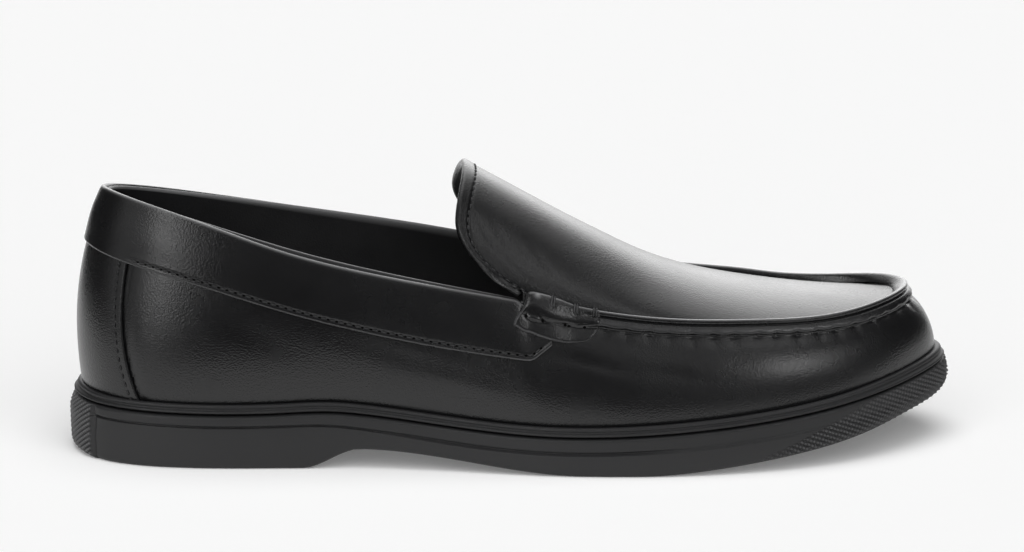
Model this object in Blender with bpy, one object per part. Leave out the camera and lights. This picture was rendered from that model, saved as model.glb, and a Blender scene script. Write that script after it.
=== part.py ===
"""Right moc toe loafer: a moulded rubber outsole with its welt, one hollow leather upper and the pieces sewn to it.

Sizes are millimetres until a mesh is placed, where MM turns them into metres.
t runs along the shoe from the back of the heel to the toe, y towards the inner side of the foot, z up from the floor.
u runs once round the shoe from the back of the heel, along the outer side first, and is 1 at the heel again.
"""

import bmesh
import bpy
import numpy as np

MM = 0.001
UP = np.array([0.0, 0.0, 1.0])

# Driving sizes
LENGTH = 302.5
BALL_WIDTH = 106.0
BACK_HEIGHT = 89.4
INSTEP_HEIGHT = 97.2
HEEL_BED = 23.4

# Thicknesses and clearances
WALL = 2.0
GAP = 0.3
WELT_RISE = 3.3
INSOLE_THICKNESS = 3.2

# Sections round the shoe. sole_t and top_t are percent of LENGTH, sole_y and top_y percent of BALL_WIDTH and
# top_z percent of BACK_HEIGHT. The top is the collar's edge behind the saddles and the moc seam in front of them.
# foot_lean is the wall's outward lean over the sole and top_lean its inward lean at the top, in degrees.
SECTION_COLUMNS = ("sole_t", "sole_y", "top_t", "top_y", "top_z", "foot_lean", "top_lean")
SECTIONS = {
    "heel back": (0.0, 0.0, 4.4, 0.0, 100.0, 2.5, 22),
    "heel corner, outer": (3.1, -22.2, 6.9, -16.5, 98.2, 6, 16),
    "heel side, outer": (13.2, -34.4, 15.2, -27.2, 91.0, 8, 12),
    "seat, outer": (27.1, -36.3, 27.1, -31.3, 79.4, 8, 12),
    "waist, outer": (40.3, -40.1, 40.3, -33.8, 70.2, 8, 14),
    "saddle, outer": (52.2, -47.2, 50.6, -35.4, 64.4, 7, 24),
    "ball, outer": (64.5, -50.0, 63.8, -35.4, 57.0, 6, 38),
    "toes, outer": (76.7, -46.2, 75.7, -32.1, 54.6, 6, 42),
    "toe side, outer": (87.6, -34.9, 84.6, -24.5, 54.1, 5, 42),
    "toe corner, outer": (95.7, -17.0, 91.2, -12.3, 56.4, 4, 40),
    "toe tip": (100.0, 4.7, 94.7, 3.8, 58.6, 3, 38),
    "toe corner, inner": (97.4, 25.5, 92.7, 17.0, 58.6, 4, 40),
    "toe side, inner": (89.9, 39.6, 86.3, 26.4, 56.8, 5, 42),
    "toes, inner": (78.7, 48.1, 76.7, 31.6, 57.5, 6, 42),
    "ball, inner": (66.1, 48.1, 64.5, 34.4, 60.2, 6, 38),
    "saddle, inner": (52.9, 41.0, 50.6, 34.4, 67.7, 8, 24),
    "waist, inner": (40.3, 33.5, 40.3, 32.5, 74.7, 11, 14),
    "seat, inner": (27.1, 32.5, 27.1, 30.7, 82.8, 10, 12),
    "heel side, inner": (13.2, 34.4, 15.2, 26.9, 90.4, 8, 12),
    "heel corner, inner": (3.1, 22.2, 6.9, 16.5, 96.9, 6, 16),
}
COLUMN_UNITS = np.array([LENGTH, BALL_WIDTH, LENGTH, BALL_WIDTH, BACK_HEIGHT, 100.0, 100.0]) / 100.0

# Side view of the sole's top edge: percent of LENGTH, percent of HEEL_BED.
BED_LINE = (
    (0.0, 100.0),
    (15.0, 93.6),
    (28.0, 89.7),
    (39.7, 78.6),
    (51.2, 67.9),
    (62.8, 68.8),
    (74.4, 80.8),
    (86.0, 100.4),
    (100.0, 132.5),
)

# Side view of the apron's crest, from the throat to the toe: percent of LENGTH, percent of INSTEP_HEIGHT.
CREST_LINE = (
    (44.6, 100.0),
    (50.7, 88.9),
    (55.7, 80.3),
    (60.8, 71.9),
    (64.5, 66.1),
    (67.6, 62.3),
    (74.4, 56.6),
    (82.6, 52.6),
    (89.3, 51.2),
    (94.7, 51.4),
)

# Underside of the sole
BREAST_START = 79.0
BREAST_END = 98.0
ARCH_END = 172.0
ARCH_HEIGHT = 6.6
SPRING_START = 195.0
TOE_SPRING = 14.5
SPRING_POWER = 1.35

# Band of the sole's side, between the groove under the welt and the step above the tread
SOLE_BAND_HEEL = 4.6
SOLE_BAND_FRONT = 5.5
SOLE_STEP = 0.7

# Upper over the sole: how far the wall stands inside the sole's edge.
FEATHER_INSET_HEEL = 3.6
FEATHER_INSET_TOE = 6.0
WALL_FULLNESS = 0.38

# Raised moc seam: its height over the apron, its reach into the apron, and where it grows out of the saddle.
SEAM_HEIGHT = 2.4
SEAM_REACH = 2.6
SEAM_SKIRT = 6.0
SEAM_START = 18.0
SEAM_FULL = 30.0
# Swell of the gathered vamp edge below the seam: distance down the wall, height over the wall.
SEAM_ROLL = ((0.0, 0.0), (1.6, 0.5), (3.2, 0.6), (4.8, 0.0), (5.8, -0.6), (7.4, -0.2), (9.4, 0.0))

# Throat of the apron: how far its edge runs back, how much more on the outer side, the height share where it is
# furthest back, and how much of it the crest gives up.
THROAT_SETBACK = 21.8
THROAT_SKEW = 0.07
THROAT_BULGE_AT = 0.6
THROAT_CREST_RETURN = 0.2
SETBACK_END = 0.6

# Collar band, counter and saddle tabs, all measured along the upper's wall.
BAND_DEPTH_HEEL = 17.2
BAND_DEPTH_FRONT = 20.0
BAND_THICKNESS = 1.3
BAND_PAST_SADDLE = 8.5
BAND_CORNER = 9.0
COUNTER_THICKNESS = 0.7
COUNTER_REACH_FOOT = 42.0
COUNTER_REACH_TOP = 31.5
TAB_BEHIND_SADDLE = 4.0
TAB_PAST_SADDLE = 23.0
TAB_DEPTH_BACK = 10.5
TAB_DEPTH_FRONT = 13.0
TAB_THICKNESS = 1.4
TAB_CORNER = 5.0

# Mesh density
REAR_COLUMNS = 34
APRON_ROWS = 16
APRON_COLUMNS = 14
WALL_ROWS = 5
STRIP_STEPS = 24


def smooth(low, high, x):
    """0 below low, 1 above high, and an even S curve between them."""
    share = np.clip((np.asarray(x, float) - low) / (high - low), 0.0, 1.0)
    return share * share * (3.0 - 2.0 * share)


def open_spline(line, unit_t, unit_z):
    """Natural cubic through the rows of a side view table, as a function of t."""
    t = np.array([row[0] for row in line]) * unit_t / 100.0
    z = np.array([row[1] for row in line]) * unit_z / 100.0
    step = np.diff(t)
    slope = np.diff(z) / step
    system = np.eye(len(t))
    bend = np.zeros(len(t))
    for i in range(1, len(t) - 1):
        system[i, i - 1 : i + 2] = step[i - 1], 2.0 * (step[i - 1] + step[i]), step[i]
        bend[i] = 6.0 * (slope[i] - slope[i - 1])
    second = np.linalg.solve(system, bend)

    def at(x):
        x = np.clip(x, t[0], t[-1])
        i = np.clip(np.searchsorted(t, x) - 1, 0, len(t) - 2)
        b = (x - t[i]) / step[i]
        a = 1.0 - b
        cubic = (a**3 - a) * second[i] + (b**3 - b) * second[i + 1]
        return a * z[i] + b * z[i + 1] + cubic * step[i] ** 2 / 6.0

    return at


def closed_spline(rows):
    """Closed cubic through the section rows, and the rows' own places u from 0 to 1."""
    chords = np.linalg.norm(np.roll(rows[:, :2], -1, 0) - rows[:, :2], axis=1)
    girth = chords.sum()
    step = chords / girth
    knots = np.append(0.0, np.cumsum(step)[:-1])
    count = len(rows)
    slope = (np.roll(rows, -1, 0) - rows) / step[:, None]
    system = np.zeros((count, count))
    for i in range(count):
        system[i, i - 1] += step[i - 1]
        system[i, i] += 2.0 * (step[i - 1] + step[i])
        system[i, (i + 1) % count] += step[i]
    second = np.linalg.solve(system, 6.0 * (slope - np.roll(slope, 1, 0)))

    def at(u):
        u = np.mod(u, 1.0)
        i = np.clip(np.searchsorted(knots, u, side="right") - 1, 0, count - 1)
        j = (i + 1) % count
        b = ((u - knots[i]) / step[i])[..., None]
        a = 1.0 - b
        cubic = (a**3 - a) * second[i] + (b**3 - b) * second[j]
        return a * rows[i] + b * rows[j] + cubic * step[i][..., None] ** 2 / 6.0

    return at, dict(zip(SECTIONS, knots)), girth


section, PLACE, GIRTH = closed_spline(np.array(list(SECTIONS.values())) * COLUMN_UNITS)
bed = open_spline(BED_LINE, LENGTH, HEEL_BED)
crest = open_spline(CREST_LINE, LENGTH, INSTEP_HEIGHT)

SADDLE_OUT = PLACE["saddle, outer"]
SADDLE_IN = PLACE["saddle, inner"]
FRONT_OUT = PLACE["toe corner, outer"]
FRONT_IN = PLACE["toe corner, inner"]


def underside(t):
    """Height of the sole's underside: flat heel, breast, arch, flat forefoot and toe spring."""
    arch = ARCH_HEIGHT * smooth(BREAST_START, BREAST_END, t) * (1.0 - smooth(BREAST_END, ARCH_END, t))
    rise = np.clip((t - SPRING_START) / (LENGTH - SPRING_START), 0.0, None)
    return arch + TOE_SPRING * rise**SPRING_POWER


def plan_normal(u, step=1e-4):
    """Outward normal of the sole's outline in plan."""
    along = section(u + step)[..., :2] - section(u - step)[..., :2]
    normal = np.stack([along[..., 1], -along[..., 0]], -1)
    return normal / np.linalg.norm(normal, axis=-1, keepdims=True)


def outline(u, inset):
    """The sole's outline in plan, moved inwards."""
    return section(u)[..., :2] - plan_normal(u) * np.asarray(inset, float)[..., None]


def at_height(plan, z):
    return np.concatenate([plan, np.broadcast_to(z, plan.shape[:-1])[..., None]], -1)


def feather_inset(u):
    along = np.clip(section(u)[..., 0] / LENGTH, 0.0, 1.0)
    return FEATHER_INSET_HEEL + (FEATHER_INSET_TOE - FEATHER_INSET_HEEL) * along


def foot_line(u):
    """Lower edge of the upper's wall, behind the welt."""
    plan = outline(u, feather_inset(u))
    return at_height(plan, bed(plan[..., 0]) - WELT_RISE)


def seam_growth(u):
    """0 along the collar and under the saddle tabs, 1 along the moc seam."""
    past_out = (u - SADDLE_OUT) * GIRTH
    past_in = (SADDLE_IN - u) * GIRTH
    return smooth(SEAM_START, SEAM_FULL, np.minimum(past_out, past_in))


def top_line(u):
    """Upper edge of the plain wall: the collar, and the apron's own edge below the raised moc seam."""
    top = section(u)[..., 2:5].copy()
    top[..., 2] -= SEAM_HEIGHT * seam_growth(np.mod(u, 1.0))
    return top


def wall(u, v):
    """Plain outer face of the upper's side wall. v is 0 at the sole and 1 at the top."""
    u, v = np.broadcast_arrays(np.asarray(u, float), np.asarray(v, float))
    foot, top = foot_line(u), top_line(u)
    lean = np.radians(section(u)[..., 5:7])
    out = at_height(plan_normal(u), 0.0)
    handle = WALL_FULLNESS * np.linalg.norm(top - foot, axis=-1, keepdims=True)
    rising = foot + handle * (np.sin(lean[..., :1]) * out + np.cos(lean[..., :1]) * UP)
    nearing = top + handle * (np.sin(lean[..., 1:]) * out - np.cos(lean[..., 1:]) * UP)
    v = v[..., None]
    w = 1.0 - v
    return w**3 * foot + 3 * w * w * v * rising + 3 * w * v * v * nearing + v**3 * top


def wall_normal(u, v, step=1e-3):
    round_shoe = wall(u + step, v) - wall(u - step, v)
    upwards = wall(u, v + step) - wall(u, v - step)
    normal = np.cross(round_shoe, upwards)
    return normal / np.linalg.norm(normal, axis=-1, keepdims=True)


def share_below_top(u, drop):
    """v of the point that lies this far down the wall from its top edge."""
    u, drop = np.broadcast_arrays(np.asarray(u, float), np.asarray(drop, float))
    steps = np.linspace(1.0, 0.0, STRIP_STEPS + 1)
    line = wall(u[..., None], steps)
    run = np.linalg.norm(np.diff(line, axis=-2), axis=-1).cumsum(-1)
    run = np.concatenate([np.zeros(run.shape[:-1] + (1,)), run], -1)
    flat = [np.interp(d, r, steps) for d, r in zip(drop.ravel(), run.reshape(-1, STRIP_STEPS + 1))]
    return np.array(flat).reshape(drop.shape)


def share_above_foot(u, rise):
    """v of the point that lies this far up the wall from its lower edge."""
    height = np.linalg.norm(top_line(u) - foot_line(u), axis=-1)
    return np.asarray(rise) / (3.0 * WALL_FULLNESS * height)


def seam_swell(u, drop):
    """How far the gathered moc seam lifts the wall's outer face, this far down from the top edge."""
    roll = np.interp(drop, *np.array(SEAM_ROLL).T)
    v = share_below_top(u, drop)
    lift = wall_normal(u, v) * roll[..., None]
    lift = lift + UP * (SEAM_HEIGHT * (1.0 - smooth(0.0, SEAM_SKIRT, drop)))[..., None]
    return lift * seam_growth(np.mod(u, 1.0))[..., None]


def over_wall(u, drop, lift):
    """A point on the upper's outer face, this far down from its top edge, lifted off it."""
    u, drop, lift = np.broadcast_arrays(*(np.asarray(x, float) for x in (u, drop, lift)))
    v = share_below_top(u, drop)
    return wall(u, v) + seam_swell(u, drop) + wall_normal(u, v) * lift[..., None]


def apron(p, q):
    """Plain outer face of the apron. p is 0 at the throat and 1 at the toe, q -1 at the outer seam and 1 at the inner."""
    p, q = np.broadcast_arrays(np.asarray(p, float), np.asarray(q, float))
    outer = top_line(SADDLE_OUT + p * (FRONT_OUT - SADDLE_OUT))
    inner = top_line(SADDLE_IN + p * (FRONT_IN - SADDLE_IN))
    across = (q[..., None] + 1.0) / 2.0
    chord = outer + (inner - outer) * across
    front_out, front_in = top_line(np.array(FRONT_OUT)), top_line(np.array(FRONT_IN))
    front = top_line(FRONT_OUT + (FRONT_IN - FRONT_OUT) * across[..., 0])
    bow = (front - front_out - (front_in - front_out) * across) * p[..., None] ** 3
    setback = THROAT_SETBACK * (1.0 - smooth(0.0, SETBACK_END, p)) ** 2
    middle = (outer + inner) / 2.0
    tip = top_line(np.array((FRONT_OUT + FRONT_IN) / 2.0)) - (front_out + front_in) / 2.0
    crest_t = middle[..., 0] - (1.0 - THROAT_CREST_RETURN) * setback + tip[0] * p**3
    crown = (crest(crest_t) - middle[..., 2] - tip[2] * p**3) * (1.0 - smooth(0.85, 1.0, p))
    arch = np.clip(1.0 - q * q, 0.0, 1.0) ** (1.0 / (2.0 - 0.85 * smooth(0.0, 0.5, p)))
    back = 1.0 - (1.0 - np.minimum(arch / THROAT_BULGE_AT, 1.0)) ** 2
    back = back - THROAT_CREST_RETURN * np.clip((arch - THROAT_BULGE_AT) / (1.0 - THROAT_BULGE_AT), 0.0, 1.0) ** 1.5
    point = chord + bow
    point[..., 0] -= setback * back * (1.0 - THROAT_SKEW * q)
    point[..., 2] += crown * arch
    return point


def apron_seam_lift(p, q):
    """How far the moc seam stands over the apron near its edge."""
    outer = top_line(SADDLE_OUT + p * (FRONT_OUT - SADDLE_OUT))
    inner = top_line(SADDLE_IN + p * (FRONT_IN - SADDLE_IN))
    side = (1.0 - np.abs(q)) * np.linalg.norm(inner - outer, axis=-1) / 2.0
    front = (1.0 - p) * (FRONT_OUT - SADDLE_OUT) * GIRTH
    near = 1.0 - smooth(0.0, SEAM_REACH, np.minimum(side, front))
    return SEAM_HEIGHT * near * seam_growth(SADDLE_OUT + p * (FRONT_OUT - SADDLE_OUT))


def apron_shares():
    """Rows p and columns q of the apron, closer together at the seam."""
    p = np.sin(np.linspace(0.0, np.pi / 2, APRON_ROWS + 1))
    q = np.sin(np.linspace(-np.pi / 2, np.pi / 2, APRON_COLUMNS + 1))
    return p, q


def column_places():
    """u of each column round the shoe. Along the moc seam they are the apron's own rows and columns."""
    p, q = apron_shares()
    rear_start = SADDLE_IN - 1.0
    rear = np.linspace(rear_start, SADDLE_OUT, REAR_COLUMNS + 1)[:-1]
    outer = SADDLE_OUT + p[:-1] * (FRONT_OUT - SADDLE_OUT)
    front = FRONT_OUT + (q[:-1] + 1.0) / 2.0 * (FRONT_IN - FRONT_OUT)
    inner = SADDLE_IN + p[:0:-1] * (FRONT_IN - SADDLE_IN)
    return np.concatenate([rear, outer, front, inner])


COLUMNS = column_places()
SOLE_PLAN = outline(COLUMNS, np.zeros(len(COLUMNS)))
CENTRE = np.append((SOLE_PLAN.min(0) + SOLE_PLAN.max(0)) / 2.0, 0.0)


def placed(points):
    """Millimetres on the shoe to metres round the origin, under the middle of the shoe."""
    return (np.asarray(points) - CENTRE) * MM


def loft_ring(bm, loops):
    """Loops of points joined by extruding each to the next. Returns each loop's vertices."""
    column = bm.verts.layers.int.get("column") or bm.verts.layers.int.new("column")
    rings = [bmesh.ops.create_circle(bm, segments=len(loops[0]), radius=1.0)["verts"]]
    for i, vertex in enumerate(rings[0]):
        vertex[column] = i
    for i in range(len(loops) - 1):
        edges = [e for e in bm.edges if all(v in rings[i] for v in e.verts)]
        made = bmesh.ops.extrude_edge_only(bm, edges=edges)["geom"]
        ring = [g for g in made if isinstance(g, bmesh.types.BMVert)]
        rings.append(sorted(ring, key=lambda v: v[column]))
    for ring, loop in zip(rings, loops):
        for vertex, point in zip(ring, placed(loop)):
            vertex.co = point
    return rings


def ring_edges(bm, ring):
    members = set(ring)
    return [e for e in bm.edges if e.verts[0] in members and e.verts[1] in members]


def close_across(bm, ring):
    """Closes a ring by rungs from its outer side to its inner side, from heel to toe."""
    half = len(ring) // 2
    heel = REAR_COLUMNS // 2
    order = [ring[(heel + i) % len(ring)] for i in range(len(ring))]
    for i in range(1, half):
        left, right = order[i], order[-i]
        ahead_left, ahead_right = order[i + 1], order[-i - 1]
        if i == 1:
            bm.faces.new((order[0], left, right))
        corners = (left, ahead_left, ahead_right, right)
        bm.faces.new(corners[:2] + corners[3:] if ahead_left is ahead_right else corners)


def finish(name, bm, material, smooth_angle=40.0):
    """Turns a finished bmesh into a named object of the shoe."""
    bmesh.ops.remove_doubles(bm, verts=bm.verts, dist=1e-7)
    bmesh.ops.recalc_face_normals(bm, faces=bm.faces)
    bmesh.ops.triangulate(bm, faces=bm.faces)
    mesh = bpy.data.meshes.new(name)
    bm.to_mesh(mesh)
    bm.free()
    mesh.shade_smooth()
    mesh.set_sharp_from_angle(angle=np.radians(smooth_angle))
    mesh.materials.append(material)
    part = bpy.data.objects.new(name, mesh)
    SHOE.objects.link(part)
    return part


def finish_material(name, colour, roughness, coat=0.0):
    material = bpy.data.materials.new(name)
    material.use_nodes = True
    shader = material.node_tree.nodes["Principled BSDF"]
    shader.inputs["Base Color"].default_value = (*colour, 1.0)
    shader.inputs["Roughness"].default_value = roughness
    shader.inputs["Metallic"].default_value = 0.0
    shader.inputs["Coat Weight"].default_value = coat
    return material


def sole_band_inset(t):
    """The band under the groove stands out at the heel and steps in along the forefoot."""
    return 0.1 + 0.5 * smooth(95.0, 125.0, t) * (1.0 - smooth(225.0, 260.0, t))


def sole_side_inset(t):
    """The lower side is recessed along the heel, between its bumper and the breast."""
    return 0.7 * (smooth(6.0, 10.0, t) - smooth(95.0, 125.0, t))


def sole_band_height(t):
    """The band under the groove is a little taller along the forefoot."""
    return SOLE_BAND_HEEL + (SOLE_BAND_FRONT - SOLE_BAND_HEEL) * smooth(60.0, 140.0, t)


def make_outsole(material):
    """Rubber unit from its tread to the seat of welt and upper."""
    t = section(COLUMNS)[..., 0]

    def loop(inset, from_underside=None, below_bed=None):
        plan = outline(COLUMNS, inset + np.zeros(len(COLUMNS)))
        along = plan[..., 0]
        z = bed(along) - below_bed if from_underside is None else underside(along) + from_underside
        return at_height(plan, z)

    side = sole_side_inset(t)
    band = sole_band_inset(t)
    groove = WELT_RISE + GAP
    step = groove + sole_band_height(t)
    loops = [
        loop(3.4, from_underside=0.0),
        loop(side + 1.3, from_underside=0.8),
        loop(side + 0.3, from_underside=2.6),
        loop(side, below_bed=step + SOLE_STEP),
        loop(band, below_bed=step),
        loop(band, below_bed=groove + 1.2),
        loop(band + 0.9, below_bed=groove + 0.3),
        loop(band + 1.9, below_bed=groove),
    ]
    bm = bmesh.new()
    rings = loft_ring(bm, loops)
    close_across(bm, rings[0])
    close_across(bm, rings[-1])
    return finish("outsole", bm, material)


def make_welt(material):
    """Narrow band round the foot of the upper, over the groove of the sole."""
    bottom = share_above_foot(COLUMNS, 0.0)
    top = share_above_foot(COLUMNS, WELT_RISE + 0.2)

    def against_upper(v):
        return wall(COLUMNS, v) + wall_normal(COLUMNS, v + 0.02) * GAP

    def outside(inset, below_bed):
        plan = outline(COLUMNS, np.full(len(COLUMNS), inset))
        return at_height(plan, bed(plan[..., 0]) - below_bed)

    loops = [
        against_upper(bottom),
        outside(2.4, WELT_RISE),
        outside(1.5, WELT_RISE - 0.5),
        outside(1.2, 1.6),
        outside(1.6, 0.4),
        outside(2.6, -0.1),
        against_upper(top),
    ]
    bm = bmesh.new()
    rings = loft_ring(bm, loops)
    bmesh.ops.bridge_loops(bm, edges=ring_edges(bm, rings[0]) + ring_edges(bm, rings[-1]))
    return finish("welt", bm, material)


def make_insole(material):
    """Sock on the outsole, inside the wall of the upper."""
    inset = feather_inset(COLUMNS) + WALL + 0.6
    plan = outline(COLUMNS, inset)
    low = bed(plan[..., 0]) - WELT_RISE
    bm = bmesh.new()
    rings = loft_ring(bm, [at_height(plan, low), at_height(plan, low + INSOLE_THICKNESS)])
    close_across(bm, rings[0])
    close_across(bm, rings[-1])
    return finish("insole", bm, material)


def wall_drops():
    """Rows down the wall: those of the moc seam's swell, then even steps to the foot."""
    return [drop for drop, _ in SEAM_ROLL]


def make_upper(material):
    """One hollow wall: quarters, vamp and apron, open at collar and throat and underneath."""
    drops = wall_drops()
    seam_rows = [share_below_top(COLUMNS, np.full(len(COLUMNS), d)) for d in drops]
    even = [seam_rows[-1] * k / WALL_ROWS for k in range(WALL_ROWS)]
    shares = even + seam_rows[::-1]
    loops = [wall(COLUMNS, v) for v in shares]
    swells = [np.zeros_like(loops[0])] * WALL_ROWS
    swells += [seam_swell(COLUMNS, np.full(len(COLUMNS), d)) for d in drops[::-1]]

    bm = bmesh.new()
    lift = bm.verts.layers.float_vector.new("lift")
    rings = loft_ring(bm, loops)
    for ring, swell in zip(rings, swells):
        for vertex, vector in zip(ring, swell * MM):
            vertex[lift] = vector

    p, q = apron_shares()
    grid = bmesh.ops.create_grid(bm, x_segments=APRON_ROWS, y_segments=APRON_COLUMNS, size=1.0)["verts"]
    rows = np.rint((np.array([v.co.x for v in grid]) + 1.0) / 2.0 * APRON_ROWS).astype(int)
    columns = np.rint((np.array([v.co.y for v in grid]) + 1.0) / 2.0 * APRON_COLUMNS).astype(int)
    for vertex, point, rise in zip(grid, placed(apron(p[rows], q[columns])), apron_seam_lift(p[rows], q[columns])):
        vertex.co = point
        vertex[lift] = UP * rise * MM
    bmesh.ops.remove_doubles(bm, verts=bm.verts, dist=1e-5)
    bmesh.ops.recalc_face_normals(bm, faces=bm.faces)

    outer = list(bm.verts)
    bm.normal_update()
    inward = [v.normal * (WALL * MM * min(v.calc_shell_factor(), 1.4)) for v in outer]
    copy = bmesh.ops.duplicate(bm, geom=bm.verts[:] + bm.edges[:] + bm.faces[:])
    inner_of = copy["vert_map"]
    for vertex, vector in zip(outer, inward):
        inner_of[vertex].co -= vector
        vertex.co += vertex[lift]
    bmesh.ops.reverse_faces(bm, faces=[g for g in copy["geom"] if isinstance(g, bmesh.types.BMFace)])
    rim = [e for e in bm.edges if e.is_boundary]
    low = [e for e in rim if all(v.co.z < foot_height(v.co) for v in e.verts)]
    bmesh.ops.bridge_loops(bm, edges=low)
    bmesh.ops.bridge_loops(bm, edges=[e for e in rim if e not in set(low)])
    return finish("upper", bm, material)


def foot_height(co):
    """Height, in metres, under which a rim vertex of the upper belongs to its lower edge."""
    return (bed(co.x / MM + CENTRE[0]) + WELT_RISE) * MM


def slab(bm, u_segments, s_segments, mapped):
    """A sheet of the upper's own shape: a grid of shares with an inner and an outer layer, put in place by mapped."""
    bmesh.ops.create_grid(bm, x_segments=u_segments, y_segments=s_segments, size=1.0)
    sheet = bm.faces[:]
    bmesh.ops.extrude_face_region(bm, geom=sheet, use_keep_orig=True)
    inner = {v for face in sheet for v in face.verts}
    shares = np.array([((v.co.x + 1.0) / 2.0, (v.co.y + 1.0) / 2.0) for v in bm.verts])
    layer = np.array([v not in inner for v in bm.verts], float)
    for vertex, point in zip(bm.verts, placed(mapped(shares[:, 0], shares[:, 1], layer))):
        vertex.co = point


def band_depth(u):
    """Depth of the collar band at u, which may run below 0 on the inner side."""
    from_heel = np.abs(u) / np.where(u < 0, 1.0 - SADDLE_IN, SADDLE_OUT)
    return BAND_DEPTH_HEEL + (BAND_DEPTH_FRONT - BAND_DEPTH_HEEL) * np.clip(from_heel, 0.0, 1.0)


def make_collar_band(material):
    """Cuff round the topline, with its front corners rounded under the saddle tabs."""
    start = SADDLE_IN - 1.0 - BAND_PAST_SADDLE / GIRTH
    end = SADDLE_OUT + BAND_PAST_SADDLE / GIRTH

    def mapped(along, down, layer):
        u = start + (0.45 * along + 0.275 * (1.0 - np.cos(np.pi * along))) * (end - start)
        to_end = np.minimum(u - start, end - u) * GIRTH
        corner = np.clip(1.0 - to_end / BAND_CORNER, 0.0, 1.0)
        depth = band_depth(u) - BAND_CORNER * (1.0 - np.sqrt(1.0 - corner**2))
        return over_wall(u, down * depth, GAP + layer * BAND_THICKNESS)

    bm = bmesh.new()
    slab(bm, 60, 4, mapped)
    return finish("collar_band", bm, material)


def make_heel_counter(material):
    """Back panel between the collar band and the welt."""

    def mapped(along, up, layer):
        reach = COUNTER_REACH_TOP + (COUNTER_REACH_FOOT - COUNTER_REACH_TOP) * (1.0 - up) ** 2
        u = (2.0 * along - 1.0) * reach / GIRTH
        low = share_above_foot(u, WELT_RISE + 0.9)
        high = share_below_top(u, band_depth(u) + GAP)
        v = low + (high - low) * up
        return wall(u, v) + wall_normal(u, v) * (GAP + layer * COUNTER_THICKNESS)[..., None]

    bm = bmesh.new()
    slab(bm, 18, 8, mapped)
    return finish("heel_counter", bm, material)


def make_saddle_tab(name, saddle, forwards, material):
    """Short tab over the seam at a corner of the throat. forwards is 1 on the outer side and -1 on the inner."""

    def mapped(along, down, layer):
        past = -TAB_BEHIND_SADDLE + along * (TAB_BEHIND_SADDLE + TAB_PAST_SADDLE)
        u = saddle + forwards * past / GIRTH
        to_front = TAB_PAST_SADDLE - past
        corner = np.clip(1.0 - to_front / TAB_CORNER, 0.0, 1.0)
        depth = TAB_DEPTH_BACK + (TAB_DEPTH_FRONT - TAB_DEPTH_BACK) * along
        depth = depth - TAB_CORNER * (1.0 - np.sqrt(1.0 - corner**2))
        over_band = (BAND_THICKNESS + GAP) * (1.0 - smooth(BAND_PAST_SADDLE + 1.0, BAND_PAST_SADDLE + 6.0, past))
        return over_wall(u, down * depth, GAP + over_band + layer * TAB_THICKNESS)

    bm = bmesh.new()
    slab(bm, 14, 6, mapped)
    return finish(name, bm, material)


for thing in list(bpy.data.objects):
    bpy.data.objects.remove(thing)
SHOE = bpy.data.collections.new("moc_toe_loafer")
bpy.context.scene.collection.children.link(SHOE)

calf = finish_material("smooth black calf leather", (0.012, 0.012, 0.013), 0.38, coat=0.2)
rubber = finish_material("matt black moulded rubber", (0.022, 0.022, 0.023), 0.62)
sock = finish_material("black sock leather", (0.014, 0.014, 0.015), 0.7)

make_outsole(rubber)
make_welt(rubber)
make_insole(sock)
make_upper(calf)
make_collar_band(calf)
make_heel_counter(calf)
make_saddle_tab("saddle_tab_outer", SADDLE_OUT, 1.0, calf)
make_saddle_tab("saddle_tab_inner", SADDLE_IN, -1.0, calf)
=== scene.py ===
"""Looks of the moc toe loafer: calf upper with its moc seam, overlays, stitches and lining, on a rubber sole.

Sizes are millimetres until a mesh is placed, where MM turns them into metres.
t runs along the shoe from the back of the heel to the toe, y towards the inner side of the foot, z up.
u runs once round the shoe from the back of the heel, along the outer side first, and is 1 at the heel again.
"""

import math

import bmesh
import bpy
import numpy as np
from mathutils import Matrix, Vector


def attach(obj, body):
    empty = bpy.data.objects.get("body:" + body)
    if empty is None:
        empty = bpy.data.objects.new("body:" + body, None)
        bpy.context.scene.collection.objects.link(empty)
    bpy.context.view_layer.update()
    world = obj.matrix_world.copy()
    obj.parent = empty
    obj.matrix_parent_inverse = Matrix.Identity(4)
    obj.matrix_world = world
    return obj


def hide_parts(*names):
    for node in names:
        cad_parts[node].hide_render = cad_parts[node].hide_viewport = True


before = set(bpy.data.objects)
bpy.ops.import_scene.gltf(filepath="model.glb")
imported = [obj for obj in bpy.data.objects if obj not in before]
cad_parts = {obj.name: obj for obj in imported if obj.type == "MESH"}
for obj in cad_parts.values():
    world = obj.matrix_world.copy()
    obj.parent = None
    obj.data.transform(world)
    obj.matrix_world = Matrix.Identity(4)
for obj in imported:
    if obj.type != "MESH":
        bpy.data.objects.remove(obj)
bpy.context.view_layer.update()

MM = 0.001
UP = np.array([0.0, 0.0, 1.0])

# Driving sizes, as in the part's source
LENGTH = 302.5
BALL_WIDTH = 106.0
BACK_HEIGHT = 89.4
INSTEP_HEIGHT = 97.2
HEEL_BED = 23.4
WALL = 2.0
GAP = 0.3
WELT_RISE = 3.3

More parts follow.
